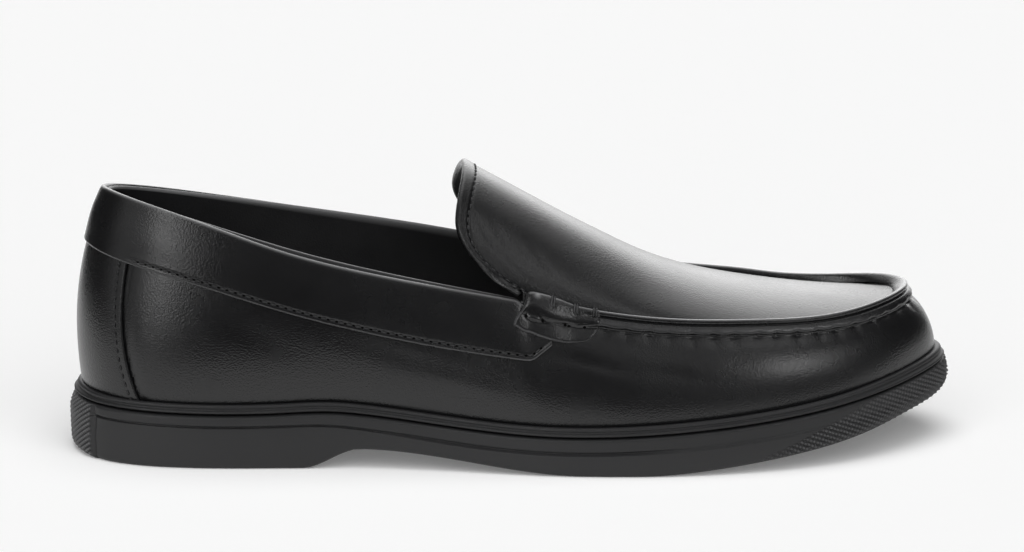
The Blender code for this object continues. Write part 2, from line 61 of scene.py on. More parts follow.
# Sections round the shoe: t and y of the sole, t, y and z of the top, in percent of LENGTH, BALL_WIDTH and
# BACK_HEIGHT, then the wall's outward lean at its foot and inward lean at its top, in degrees.
SECTIONS = {
    "heel back": (0.0, 0.0, 4.4, 0.0, 99.6, 8.0, 22),
    "heel corner, outer": (3.1, -22.2, 6.9, -16.5, 97.9, 6, 16),
    "heel side, outer": (13.2, -34.4, 15.2, -27.2, 91.0, 8, 12),
    "seat, outer": (27.1, -36.3, 27.1, -31.3, 79.4, 8, 12),
    "waist, outer": (40.3, -40.1, 40.3, -33.8, 70.2, 8, 14),
    "saddle, outer": (52.2, -47.2, 50.6, -35.4, 64.4, 7, 24),
    "ball, outer": (64.5, -50.0, 63.8, -35.4, 57.0, 6, 38),
    "toes, outer": (76.7, -46.2, 75.7, -32.1, 54.6, 6, 42),
    "toe side, outer": (87.6, -34.9, 84.6, -24.5, 54.1, 5, 42),
    "toe corner, outer": (95.7, -17.0, 91.3, -12.3, 56.4, 4, 43),
    "toe tip": (100.0, 4.7, 94.9, 3.8, 58.6, 3, 48),
    "toe corner, inner": (97.4, 25.5, 93.4, 18.0, 58.8, 4, 46),
    "toe side, inner": (89.9, 39.6, 86.3, 26.4, 56.8, 5, 42),
    "toes, inner": (78.7, 48.1, 76.7, 31.6, 57.5, 6, 42),
    "ball, inner": (66.1, 48.1, 64.5, 34.4, 61.0, 6, 38),
    "saddle, inner": (52.9, 41.0, 50.6, 34.4, 67.7, 8, 24),
    "waist, inner": (40.3, 33.5, 40.3, 32.5, 74.7, 11, 14),
    "seat, inner": (27.1, 32.5, 27.1, 30.7, 82.8, 10, 12),
    "heel side, inner": (13.2, 34.4, 15.2, 26.9, 90.4, 8, 12),
    "heel corner, inner": (3.1, 22.2, 6.9, 16.5, 96.6, 6, 16),
}
COLUMN_UNITS = np.array([LENGTH, BALL_WIDTH, LENGTH, BALL_WIDTH, BACK_HEIGHT, 100.0, 100.0]) / 100.0

# Side view of the sole's top edge: percent of LENGTH, percent of HEEL_BED
BED_LINE = (
    (0.0, 99.0), (15.0, 94.0), (24.0, 95.6), (29.0, 97.6), (33.0, 94.0), (39.7, 83.8),
    (51.2, 71.5), (62.8, 73.1), (74.4, 83.8), (86.0, 100.4), (100.0, 130.5),
)

# Side view of the apron's crest, from the throat to the toe: percent of LENGTH, percent of INSTEP_HEIGHT
CREST_LINE = (
    (44.6, 99.8), (50.7, 89.2), (55.7, 80.5), (60.8, 72.1), (64.5, 66.3),
    (67.6, 62.4), (74.4, 56.6), (82.6, 52.6), (89.3, 51.2), (94.7, 51.4),
)

# Underside of the sole, and how far the upper is set in on its top
BREAST_START, BREAST_END, ARCH_END, ARCH_HEIGHT = 79.0, 98.0, 172.0, 6.6
SPRING_START, TOE_SPRING, SPRING_POWER = 195.0, 14.5, 1.35
FEATHER_INSET_HEEL, FEATHER_INSET_TOE, HEEL_TUCK, HEEL_TUCK_END = 3.6, 4.6, 1.2, 22.0
WALL_FULLNESS = 0.38

# Raised moc seam: where it grows out of the collar, and how it lies lower on the inner side of the toe
SEAM_HEIGHT = 2.5
SEAM_START, SEAM_FULL = -4.0, 3.0
INNER_SEAM_DROP, INNER_DROP_START, INNER_DROP_END = 0.25, 229.0, 250.0

# Throat and crown of the apron
THROAT_SETBACK, THROAT_SKEW, THROAT_CREST_RETURN, SETBACK_END = 21.3, 0.05, 0.165, 0.6
THROAT_BULGE_FROM, THROAT_BULGE_AT = 0.11, 0.67
CROWN_OUT = 0.85
ARCH_POWER, ARCH_POWER_LOSS, ARCH_EVEN_FROM = 2.0, 0.85, 0.5

# Collar band and counter, measured along the upper's wall
BAND_DEPTH_HEEL, BAND_DEPTH_FRONT, BAND_THICKNESS, BAND_PAST_SADDLE = 18.9, 21.1, 1.3, 8.5
BAND_SKIVED, SKIVE_START, SKIVE_END = 0.55, -20.0, 4.0
BAND_CORNER_AT, BAND_CORNER_SLOPE, BAND_CORNER_ROUND = 1.0, 0.9, 1.6
COUNTER_REACH_FOOT, COUNTER_REACH_TOP, COUNTER_THICKNESS = 42.0, 31.5, 0.5

# Stitching: pitches, length of a stitch, distance of a row from its edge, half thickness of the thread
MOC_PITCH, MOC_FIRST = 7.3, 5.2
STITCH_LENGTH, BAND_PITCH, BAND_STITCH_IN = 2.0, 2.9, 1.8
HEM_WIDTH, HEM_PITCH = 3.4, 2.9
COUNTER_STITCH_IN = 3.0
THREAD = 0.36


def smooth(low, high, x):
    """0 below low, 1 above high, and an even S curve between them."""
    share = np.clip((np.asarray(x, float) - low) / (high - low), 0.0, 1.0)
    return share * share * (3.0 - 2.0 * share)


def bump(x, middle, width, height=1.0):
    """A soft hump."""
    return height * np.exp(-(((x - middle) / width) ** 2))


def unit(vectors):
    return vectors / np.maximum(np.linalg.norm(vectors, axis=-1, keepdims=True), 1e-9)


def run_along(points, axis=0):
    """Length along each line of points from its start. The lines run along axis."""
    step = np.linalg.norm(np.diff(points, axis=axis), axis=-1)
    return np.concatenate([np.zeros_like(step.take([0], axis)), step.cumsum(axis)], axis)


def place_on(line, run, at):
    """Points of a line at some distances along it. run is each of its points' own distance."""
    return np.stack([np.interp(at, run, line[:, k]) for k in range(3)], -1)


def open_spline(line, unit_t=100.0, unit_z=100.0):
    """Natural cubic through the pairs of a table, as a function of the first of each pair."""
    t = np.array([row[0] for row in line]) * unit_t / 100.0
    z = np.array([row[1] for row in line]) * unit_z / 100.0
    step = np.diff(t)
    slope = np.diff(z) / step
    system = np.eye(len(t))
    bend = np.zeros(len(t))
    for i in range(1, len(t) - 1):
        system[i, i - 1 : i + 2] = step[i - 1], 2.0 * (step[i - 1] + step[i]), step[i]
        bend[i] = 6.0 * (slope[i] - slope[i - 1])
    second = np.linalg.solve(system, bend)

    def at(x):
        x = np.clip(x, t[0], t[-1])
        i = np.clip(np.searchsorted(t, x) - 1, 0, len(t) - 2)
        b = (x - t[i]) / step[i]
        a = 1.0 - b
        cubic = (a**3 - a) * second[i] + (b**3 - b) * second[i + 1]
        return a * z[i] + b * z[i + 1] + cubic * step[i] ** 2 / 6.0

    return at


def closed_spline(rows):
    """Closed cubic through the section rows, the rows' own places u from 0 to 1, and the way round in all."""
    chords = np.linalg.norm(np.roll(rows[:, :2], -1, 0) - rows[:, :2], axis=1)
    girth = chords.sum()
    step = chords / girth
    knots = np.append(0.0, np.cumsum(step)[:-1])
    count = len(rows)
    slope = (np.roll(rows, -1, 0) - rows) / step[:, None]
    system = np.zeros((count, count))
    for i in range(count):
        system[i, i - 1] += step[i - 1]
        system[i, i] += 2.0 * (step[i - 1] + step[i])
        system[i, (i + 1) % count] += step[i]
    second = np.linalg.solve(system, 6.0 * (slope - np.roll(slope, 1, 0)))

    def at(u):
        u = np.mod(u, 1.0)
        i = np.clip(np.searchsorted(knots, u, side="right") - 1, 0, count - 1)
        j = (i + 1) % count
        b = ((u - knots[i]) / step[i])[..., None]
        a = 1.0 - b
        cubic = (a**3 - a) * second[i] + (b**3 - b) * second[j]
        return a * rows[i] + b * rows[j] + cubic * step[i][..., None] ** 2 / 6.0

    return at, dict(zip(SECTIONS, knots)), girth


section, PLACE, GIRTH = closed_spline(np.array(list(SECTIONS.values())) * COLUMN_UNITS)
bed = open_spline(BED_LINE, LENGTH, HEEL_BED)
crest = open_spline(CREST_LINE, LENGTH, INSTEP_HEIGHT)
SADDLE_OUT, SADDLE_IN = PLACE["saddle, outer"], PLACE["saddle, inner"]
FRONT_OUT, FRONT_IN = PLACE["toe corner, outer"], PLACE["toe corner, inner"]


def underside(t):
    """Height of the sole's underside: flat heel, breast, arch, flat forefoot and toe spring."""
    arch = ARCH_HEIGHT * smooth(BREAST_START, BREAST_END, t) * (1.0 - smooth(BREAST_END, ARCH_END, t))
    rise = np.clip((t - SPRING_START) / (LENGTH - SPRING_START), 0.0, None)
    return arch + TOE_SPRING * rise**SPRING_POWER


def plan_normal(u, step=1e-4):
    """Outward normal of the sole's outline in plan."""
    along = section(u + step)[..., :2] - section(u - step)[..., :2]
    normal = np.stack([along[..., 1], -along[..., 0]], -1)
    return normal / np.linalg.norm(normal, axis=-1, keepdims=True)


def outline(u, inset):
    """The sole's outline in plan, moved inwards."""
    return section(u)[..., :2] - plan_normal(u) * np.asarray(inset, float)[..., None]


def at_height(plan, z):
    return np.concatenate([plan, np.broadcast_to(z, plan.shape[:-1])[..., None]], -1)


def feather_inset(u):
    """How far the foot of the upper is set in from the sole's edge."""
    along = np.clip(section(u)[..., 0] / LENGTH, 0.0, 1.0)
    tucked = HEEL_TUCK * (1.0 - smooth(0.0, HEEL_TUCK_END, section(u)[..., 0]))
    return FEATHER_INSET_HEEL + (FEATHER_INSET_TOE - FEATHER_INSET_HEEL) * along + tucked


def foot_line(u):
    """Lower edge of the upper's wall, behind the welt."""
    plan = outline(u, feather_inset(u))
    return at_height(plan, bed(plan[..., 0]) - WELT_RISE)


def seam_growth(u):
    """0 along the collar, 1 along the moc seam, growing under the saddle tabs."""
    u = np.mod(u, 1.0)
    past = np.minimum(u - SADDLE_OUT, SADDLE_IN - u) * GIRTH
    return smooth(SEAM_START, SEAM_FULL, past)


def top_line(u):
    """Upper edge of the plain wall: the collar, and the apron's own edge below the raised moc seam."""
    top = section(u)[..., 2:5].copy()
    top[..., 2] -= SEAM_HEIGHT * seam_growth(u)
    return top


def wall(u, v):
    """Plain outer face of the upper's side wall. v is 0 at the sole and 1 at the top."""
    foot, top = foot_line(u), top_line(u)
    lean = np.radians(section(u)[..., 5:7])
    out = at_height(plan_normal(u), 0.0)
    handle = WALL_FULLNESS * np.linalg.norm(top - foot, axis=-1, keepdims=True)
    rising = foot + handle * (np.sin(lean[..., :1]) * out + np.cos(lean[..., :1]) * UP)
    nearing = top + handle * (np.sin(lean[..., 1:]) * out - np.cos(lean[..., 1:]) * UP)
    v = np.asarray(v, float)[..., None]
    w = 1.0 - v
    return w**3 * foot + 3 * w * w * v * rising + 3 * w * v * v * nearing + v**3 * top


def wall_normal(u, v, step=1e-3):
    round_shoe = wall(u + step, v) - wall(u - step, v)
    return unit(np.cross(round_shoe, wall(u, v + step) - wall(u, v - step)))


WALL_STEPS = np.linspace(1.0, 0.0, 49)


def wall_runs(u):
    """Length down the wall from its top edge at each of WALL_STEPS, with a row for each u."""
    return run_along(wall(u[:, None], WALL_STEPS), 1)


def shares_down(drop, runs):
    """v at each distance down the wall. drop and runs have a row for each place round the shoe."""
    return np.array([np.interp(d, run, WALL_STEPS) for d, run in zip(drop, runs)])


def wall_shares(u, drop):
    return shares_down(drop, wall_runs(u))


def lifted(u, v, lift):
    """Points over the plain wall. v and lift have a row for each u."""
    return wall(u[:, None], v) + wall_normal(u[:, None], v) * lift[..., None]


def on_wall(u, drop, lift):
    """Points over the plain wall at distances down it. drop and lift have a row for each u."""
    return lifted(u, wall_shares(u, drop), lift)


TOP_PLACES = np.linspace(-0.5, 1.5, 2801)
TOP_RUN = run_along(section(TOP_PLACES)[:, 2:5])


def along_top(u):
    """Length along the top line from the outer saddle."""
    return np.interp(u, TOP_PLACES, TOP_RUN) - np.interp(SADDLE_OUT, TOP_PLACES, TOP_RUN)


# Pull of a moc stitch: half width, then stray along the seam and unevenness, as shares of pitch and pull
PULL_WIDTH, PULL_STRAY, PULL_UNEVEN = 1.25, 0.05, 0.15


def pucker(u):
    """1 where a stitch draws the moc seam in and 0 between stitches, each a little different."""
    turn = (along_top(u) - MOC_FIRST) / MOC_PITCH
    stitch = np.rint(turn)
    away = (turn - stitch + PULL_STRAY * np.sin(stitch * 2.3)) * MOC_PITCH
    return bump(away, 0.0, PULL_WIDTH) * (1.0 - PULL_UNEVEN + PULL_UNEVEN * np.sin(stitch * 1.7))


# Gathering at the toe: its reach in u inside and outside the corners, more dent below, less pull on the roll
GATHER_INSIDE, GATHER_OUTSIDE = 0.02, 0.05
TOE_DENT_MORE, TOE_PULL_LESS = 0.4, 0.4


def toe_share(u):
    """1 round the front of the toe, where the vamp is gathered most."""
    past_outer = smooth(FRONT_OUT - GATHER_OUTSIDE, FRONT_OUT + GATHER_INSIDE, u)
    return past_outer * (1.0 - smooth(FRONT_IN - GATHER_INSIDE, FRONT_IN + GATHER_OUTSIDE, u))


# Relief of the vamp under its rolled edge: middle and half width down the wall, and depth
VAMP_HOLLOW = (2.4, 3.6, 0.45)
STITCH_DENT = (2.6, 1.1, 0.6)
STITCH_FURROW = (5.0, 2.4, 0.14)


def vamp_relief(u, drop):
    """Hollow and stitch dents in the vamp under its rolled edge, as a height over the plain wall."""
    u = np.mod(u, 1.0)[:, None]
    drawn = pucker(u) * (1.0 + TOE_DENT_MORE * toe_share(u))
    dent = drawn * (bump(drop, *STITCH_DENT) + bump(drop, *STITCH_FURROW))
    return -seam_growth(u) * (bump(drop, *VAMP_HOLLOW) + dent)


# Section of the moc seam over the apron's edge, outwards and up: from the crease under the vamp's roll, over
# the roll to the stitched line, up the apron's turned edge, over its top and down its inner face.
SEAM_TOP = (
    (0.05, 2.95), (-0.35, 3.00), (-0.80, 2.85), (-1.20, 2.45),
    (-1.45, 1.90), (-1.60, 1.20), (-1.70, 0.40), (-1.80, -0.50),
)
SEAM_PATH = (
    (1.50, -2.00), (1.95, -1.92), (2.28, -1.68), (2.40, -1.32), (2.32, -0.92), (2.12, -0.50),
    (1.86, -0.10), (1.56, 0.28), (1.24, 0.60), (0.92, 0.80), (0.55, 0.84), (0.18, 0.78),
    (0.06, 0.96), (0.28, 1.24), (0.52, 1.60), (0.62, 2.00), (0.56, 2.40), (0.36, 2.75),
) + SEAM_TOP

# The same seam as it lies under a saddle tab, without its roll and grooves
TABBED_PATH = (
    (2.62, -2.60), (2.40, -2.00), (2.15, -1.35), (1.92, -0.65), (1.68, 0.05),
    (1.45, 0.72), (1.22, 1.35), (0.98, 1.90), (0.70, 2.38), (0.36, 2.74),
) + SEAM_TOP
SEAM_INNER_ROWS = 6

# Plain rim that the seam turns into along the collar: where it starts, its depth, its step inwards a row
RIM_START, COLLAR_TUCK, RIM_STEP_IN = 0.88, 1.5, 0.1
# At the toe the inner face of the seam slants, and the stitches draw in the rows of the roll
INNER_FACE, SLANT_FROM, SLANT_MOST, SEAM_SLANT = -0.6, 2.9, 3.0, 0.95
ROLL_ROW, ROLL_ROWS, ROLL_PULL_IN, ROLL_PULL_DOWN = 1.5, 2.6, 0.95, 0.1
SEAM_JOIN, SEAM_DEPTH = 3.3, 18.0


def seam_points(u, path, join, dented):
    """The raised seam at each u, shrinking to a plain folded rim along the collar."""
    u = np.mod(u, 1.0)
    grown = seam_growth(u)[:, None]
    lean = np.radians(section(u)[:, 6:7])
    at_toe = toe_share(u)[:, None]
    path = np.array(path)
    rows = len(path)
    rise_rows = rows * 2 // 5
    climb = 1.0 - np.arange(rise_rows) / rise_rows
    plain_drop = np.append(join * RIM_START * climb, np.zeros(rows - rise_rows))
    plain_in = np.append(np.zeros(rise_rows), np.arange(rows - rise_rows) * RIM_STEP_IN)
    below_top = np.clip((SLANT_FROM - path[:, 1]) * (path[:, 0] < INNER_FACE), 0.0, SLANT_MOST)
    slant = below_top * SEAM_SLANT * at_toe
    drawn = dented * pucker(u)[:, None] * (1.0 - TOE_PULL_LESS * at_toe)
    drawn = drawn * bump(np.arange(rows), ROLL_ROW, ROLL_ROWS)
    out = grown * (path[:, 0] - ROLL_PULL_IN * drawn - slant)
    out = out + (1.0 - grown) * (plain_drop * np.sin(lean) - plain_in)
    dropped = smooth(INNER_DROP_START, INNER_DROP_END, section(u)[:, 2]) * smooth(FRONT_OUT, FRONT_IN, u)
    lower = 1.0 - INNER_SEAM_DROP * dropped[:, None]
    rise = grown * (path[:, 1] * lower - ROLL_PULL_DOWN * drawn)
    rise = rise - (1.0 - grown) * (COLLAR_TUCK + plain_drop * np.cos(lean))
    normal = at_height(plan_normal(u), 0.0)
    return top_line(u)[:, None] + out[..., None] * normal[:, None] + rise[..., None] * UP


def vamp_points(u, low_rows, near_rows):
    """Outer face of vamp and quarters with its seam, from the foot up, with a row for each u."""
    runs = wall_runs(u)
    near = np.linspace(SEAM_DEPTH, SEAM_JOIN, near_rows)
    far = runs[:, -1:] + (SEAM_DEPTH - runs[:, -1:]) * np.linspace(0.0, 1.0, low_rows + 1)[:-1]
    drop = np.hstack([far, np.tile(near, (len(u), 1))])
    relief = vamp_relief(u, drop) + quarter_folds(u, drop) - counter_valley(u, drop, runs[:, -1:])
    side = lifted(u, shares_down(drop, runs), relief)
    return np.concatenate([side, seam_points(u, SEAM_PATH, SEAM_JOIN, 1.0)], 1)


# Soft folds of the quarters and vamp: place along the shoe, distance down the wall, half length, half
# width, height. Positive heights swell, negative ones are troughs.
FOLDS = (
    (118.0, 27.0, 20.0, 3.2, -0.22),
    (132.0, 31.0, 16.0, 3.0, 0.18),
    (176.0, 16.0, 13.0, 2.6, -0.25),
    (186.0, 20.5, 15.0, 3.0, 0.22),
    (205.0, 17.0, 12.0, 2.4, -0.20),
    (60.0, 30.0, 16.0, 4.0, -0.18),
)
FOLD_SLANT = 0.12


def quarter_folds(u, drop):
    """Shallow folds, the same on both sides of the shoe."""
    t = section(u)[:, 0:1]
    height = np.zeros_like(drop)
    for place, down, half_length, half_width, rise in FOLDS:
        slanted = drop - down - FOLD_SLANT * (t - place)
        height = height + rise * bump(t, place, half_length) * bump(slanted, 0.0, half_width)
    return height


def counter_reach(up):
    """Half width of the counter. up is 0 at the welt and 1 at the collar band."""
    return COUNTER_REACH_TOP + (COUNTER_REACH_FOOT - COUNTER_REACH_TOP) * (1.0 - up) ** 2


VALLEY_DEPTH, VALLEY_AT, VALLEY_UNDER, VALLEY_BEYOND = 0.9, 0.4, 2.5, 2.2


def counter_valley(u, drop, full_drop):
    """Depth of the soft valley where the quarters pass under the counter's upright edges."""
    u = (np.mod(u + 0.5, 1.0) - 0.5)[:, None]
    high = band_depth(u)
    up = np.clip((full_drop - WELT_RISE - drop) / (full_drop - WELT_RISE - high), 0.0, 1.0)
    beyond = np.abs(u) * GIRTH - counter_reach(up)
    return VALLEY_DEPTH * bump(beyond, VALLEY_AT, np.where(beyond < VALLEY_AT, VALLEY_UNDER, VALLEY_BEYOND))


def apron(p, q):
    """Plain outer face of the apron. p is 0 at the throat and 1 at the toe.

    q is -1 at the outer seam and 1 at the inner one.
    """
    outer = top_line(SADDLE_OUT + p * (FRONT_OUT - SADDLE_OUT))
    inner = top_line(SADDLE_IN + p * (FRONT_IN - SADDLE_IN))
    across = (q[..., None] + 1.0) / 2.0
    chord = outer + (inner - outer) * across
    front_out, front_in = top_line(np.array(FRONT_OUT)), top_line(np.array(FRONT_IN))
    front = top_line(FRONT_OUT + (FRONT_IN - FRONT_OUT) * across[..., 0])
    bow = (front - front_out - (front_in - front_out) * across) * p[..., None] ** 3
    setback = THROAT_SETBACK * (1.0 - smooth(0.0, SETBACK_END, p)) ** 2
    middle = (outer + inner) / 2.0
    tip = top_line(np.array((FRONT_OUT + FRONT_IN) / 2.0)) - (front_out + front_in) / 2.0
    crest_t = middle[..., 0] - (1.0 - THROAT_CREST_RETURN) * setback + tip[0] * p**3
    crown = (crest(crest_t) - middle[..., 2] - tip[2] * p**3) * (1.0 - smooth(CROWN_OUT, 1.0, p))
    power = ARCH_POWER - ARCH_POWER_LOSS * smooth(0.0, ARCH_EVEN_FROM, p)
    arch = np.clip(1.0 - q * q, 0.0, 1.0) ** (1.0 / power)
    rising = np.clip((arch - THROAT_BULGE_FROM) / (THROAT_BULGE_AT - THROAT_BULGE_FROM), 0.0, 1.0)
    above = np.clip((arch - THROAT_BULGE_AT) / (1.0 - THROAT_BULGE_AT), 0.0, 1.0)
    back = 1.0 - (1.0 - rising) ** 2 - THROAT_CREST_RETURN * above**1.5
    point = chord + bow
    point[..., 0] -= setback * back * (1.0 - THROAT_SKEW * np.maximum(q, 0.0))
    point[..., 2] += crown * arch
    return point


def grid_normals(points):
    """Normals of a grid of points, to the side from which its rows run right and its columns up."""
    return unit(np.cross(np.gradient(points, axis=0), np.gradient(points, axis=1)))


def apron_grid(p, columns):
    """The plain apron at places p, with columns closer together towards the seam, and its normals."""
    q = np.sin(np.linspace(-np.pi / 2, np.pi / 2, columns))
    plain = apron(*np.meshgrid(p, q, indexing="ij"))
    return q, plain, grid_normals(plain)


PLAN = outline(np.linspace(0.0, 1.0, 4001), np.zeros(4001))
CENTRE = np.append((PLAN.min(0) + PLAN.max(0)) / 2.0, 0.0)


def placed(points):
    """Millimetres on the shoe to metres round the origin, under the middle of the shoe."""
    return (np.asarray(points) - CENTRE) * MM


def lay_grid(bm, points, closed=False, painted_highlight=None):
    """Adds a grid and lays it on an array of points.

    closed joins its first row to its last. The optional last argument is the share of painted highlight at
    each point, from 0 to 1, kept as a point attribute.
    """
    if painted_highlight is not None:
        layer = bm.verts.layers.float.new("painted_highlight")
    rows, columns = points.shape[0] - 1, points.shape[1] - 1
    verts = bmesh.ops.create_grid(bm, x_segments=rows, y_segments=columns, size=1.0)["verts"]
    i = np.rint((np.array([v.co.x for v in verts]) + 1.0) * rows / 2.0).astype(int)
    j = np.rint((np.array([v.co.y for v in verts]) + 1.0) * columns / 2.0).astype(int)
    for vertex, point in zip(verts, placed(points[i, j])):
        vertex.co = point
    if painted_highlight is not None:
        for vertex, wear_and_highlight in zip(verts, np.broadcast_to(painted_highlight, points.shape[:2])[i, j]):
            vertex[layer] = wear_and_highlight
    if closed:
        ends = [v for v, k in zip(verts, i) if k in (0, rows)]
        bmesh.ops.remove_doubles(bm, verts=ends, dist=1e-6)


def piece(name, bm, finish, slot, *nodes):
    """Turns a bmesh into a piece of the shoe, in place of the CAD nodes named."""
    mesh = bpy.data.meshes.new(name)
    bm.to_mesh(mesh)
    bm.free()
    mesh.shade_smooth()
    mesh.materials.append(finish)
    thing = bpy.data.objects.new(name, mesh)
    bpy.context.scene.collection.objects.link(thing)
    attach(thing, "root")
    if nodes:
        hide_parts(*nodes)


# Threads and needle holes, as shares of the thread's or hole's own radius
THREAD_END, THREAD_SWELL = 0.35, 2.6
STITCH_RISE, STITCH_SUNK = 1.35, 0.75
HOLE_DEPTH = 0.35
# A direction that no thread runs along
ASLANT = UP + 0.01


def tube(bm, line, radius, sides):
    """A thread along a line, thinning to its two ends, which lie in the leather."""
    along = unit(np.gradient(line, axis=0))
    side = unit(np.cross(along, ASLANT))
    over = np.cross(side, along)
    turn = np.linspace(0.0, 2.0 * np.pi, sides + 1)
    swell = THREAD_END + THREAD_SWELL * np.sin(np.linspace(0.0, np.pi, len(line)))
    thickness = radius * np.minimum(1.0, swell)
    ring = np.cos(turn)[:, None, None] * side + np.sin(turn)[:, None, None] * over
    lay_grid(bm, line + ring * thickness[:, None], closed=True)


def stitch_row(bm, line, normal, pitch, last=0.0):
    """A row of stitches along a line: each rises out of its hole and goes down into the next."""
    run = run_along(line)
    x = np.linspace(0.0, 1.0, 7)
    lift = THREAD * (STITCH_RISE * np.sin(np.pi * x) - STITCH_SUNK)
    for start in np.arange(0.0, run[-1] - last - STITCH_LENGTH, pitch):
        at = start + x * STITCH_LENGTH
        out = unit(place_on(normal, run, at))
        tube(bm, place_on(line, run, at) + out * lift[:, None], THREAD, sides=6)


def dimple(bm, point, normal, radius):
    """A shallow dimple of a needle hole, which carries the hole's painted shade."""
    flat = Matrix.Diagonal((radius * MM, radius * MM, HOLE_DEPTH * radius * MM, 1.0))
    turned = Matrix.Translation(placed(point)) @ Vector(normal).to_track_quat("Z", "Y").to_matrix().to_4x4()
    bmesh.ops.create_uvsphere(bm, u_segments=8, v_segments=4, radius=1.0, matrix=turned @ flat)


def pinhole_row(bm, line, normal, pitch, radius, last=0.0):
    """The punched holes between the stitches of a row."""
    run = run_along(line)
    gap = (pitch - STITCH_LENGTH) / 2.0
    for place in np.arange(pitch - gap, run[-1] - last - STITCH_LENGTH, pitch):
        dimple(bm, place_on(line, run, place), place_on(normal, run, place), radius)


def edge_round(inside, radius):
    """Height share of a rounded edge, from 0 at the edge to 1 at radius and further in."""
    share = np.clip(1.0 - inside / radius, 0.0, 1.0)
    return np.sqrt(1.0 - share * share)


def spaced(low, high, step, finer=0.0):
    """Even places from low to high, or closer together at both ends."""
    count = max(int(round((high - low) / step)), 4)
    share = np.linspace(0.0, 1.0, count + 1)
    share = (1.0 - finer) * share + finer * 0.5 * (1.0 - np.cos(np.pi * share))
    return low + (high - low) * share


def stretches(places, steps):
    """Even places from each of some places round the shoe to the next, with its own step in millimetres."""
    parts = [spaced(low, high, step / GIRTH) for low, high, step in zip(places, places[1:], steps)]
    return np.append(np.concatenate([part[:-1] for part in parts]), parts[-1][-1])


# Finishes
def linear(code):
    """An sRGB hex colour as linear red, green, blue and alpha."""
    part = [int(code[i : i + 2], 16) / 255.0 for i in (1, 3, 5)]
    return tuple(c / 12.92 if c <= 0.04045 else ((c + 0.055) / 1.055) ** 2.4 for c in part) + (1.0,)


def feed(tree, node, inputs):
    """Sets or links the inputs of a node."""
    for name, value in inputs.items():
        if isinstance(value, bpy.types.NodeSocket):
            tree.links.new(value, node.inputs[name])
        else:
            node.inputs[name].default_value = value


def add(tree, kind, inputs=None, **settings):
    """Adds a node with its settings, and sets or links its inputs."""
    node = tree.nodes.new("ShaderNode" + kind)
    for name, value in settings.items():
        setattr(node, name, value)
    feed(tree, node, inputs or {})
    return node


def new_finish(name):
    material = bpy.data.materials.new(name)
    material.use_nodes = True
    tree = material.node_tree
    return material, tree, tree.nodes["Principled BSDF"], add(tree, "TexCoord").outputs["Object"]


def per_mm(size):
    """Scale of a pattern whose features are size millimetres wide."""
    return 1.0 / (size * MM)


# Light greys of painted highlights: on the leather's edges, crests and rolls, and on the tops of the sole's
# knurled ribs
EDGE_HIGHLIGHT_GREY = "#808081"
RIB_HIGHLIGHT_GREY = "#6a6a6b"


def smooth_calf(name, dark, light, rough_low, rough_high, grain):
    """Full grain calf, dyed through and polished: fine pebble grain, with a shine that varies with wear."""
    material, tree, shader, place = new_finish(name)
    pebbles = {"Vector": place, "Scale": per_mm(0.58), "Randomness": 1.0, "Smoothness": 0.6}
    cells = add(tree, "TexVoronoi", pebbles, feature="SMOOTH_F1")
    pores = add(tree, "TexNoise", {"Vector": place, "Scale": per_mm(0.36), "Detail": 2.0})
    heave = add(tree, "TexNoise", {"Vector": place, "Scale": per_mm(9.0), "Detail": 2.0})
    wear = add(tree, "TexNoise", {"Vector": place, "Scale": per_mm(26.0), "Detail": 4.0, "Roughness": 0.6})
    wear_and_highlight = {"Value": wear.outputs["Fac"], "From Min": 0.3, "From Max": 0.7}
    faded = add(tree, "MapRange", wear_and_highlight).outputs["Result"]
    dyed = add(tree, "Mix", {"Factor": faded, "A": linear(dark), "B": linear(light)}, data_type="RGBA")
    # Painted highlight: a light grey mixed into the dye by the share stored on each point
    highlight_mask = add(tree, "Attribute", attribute_name="painted_highlight")
    edges = {"Factor": highlight_mask.outputs["Fac"], "A": dyed.outputs["Result"], "B": linear(EDGE_HIGHLIGHT_GREY)}
    colour = add(tree, "Mix", edges, data_type="RGBA")
    shine = add(tree, "MapRange", {**wear_and_highlight, "To Min": rough_low, "To Max": rough_high})
    swell = add(tree, "Bump", {"Height": heave.outputs["Fac"], "Strength": 0.12, "Distance": 0.35 * MM})
    pebble = {"Height": cells.outputs["Distance"], "Strength": grain, "Distance": 0.25 * MM}
    pebbled = add(tree, "Bump", {**pebble, "Normal": swell.outputs["Normal"]})
    pore = {"Height": pores.outputs["Fac"], "Strength": 1.4 * grain, "Distance": 0.08 * MM}
    fine = add(tree, "Bump", {**pore, "Normal": pebbled.outputs["Normal"]})
    look = {"Base Color": colour.outputs["Result"], "Roughness": shine.outputs["Result"]}
    look.update({"Normal": fine.outputs["Normal"], "IOR": 1.5, "Coat Weight": 0.12, "Coat Roughness": 0.22})
    feed(tree, shader, look)
    return material


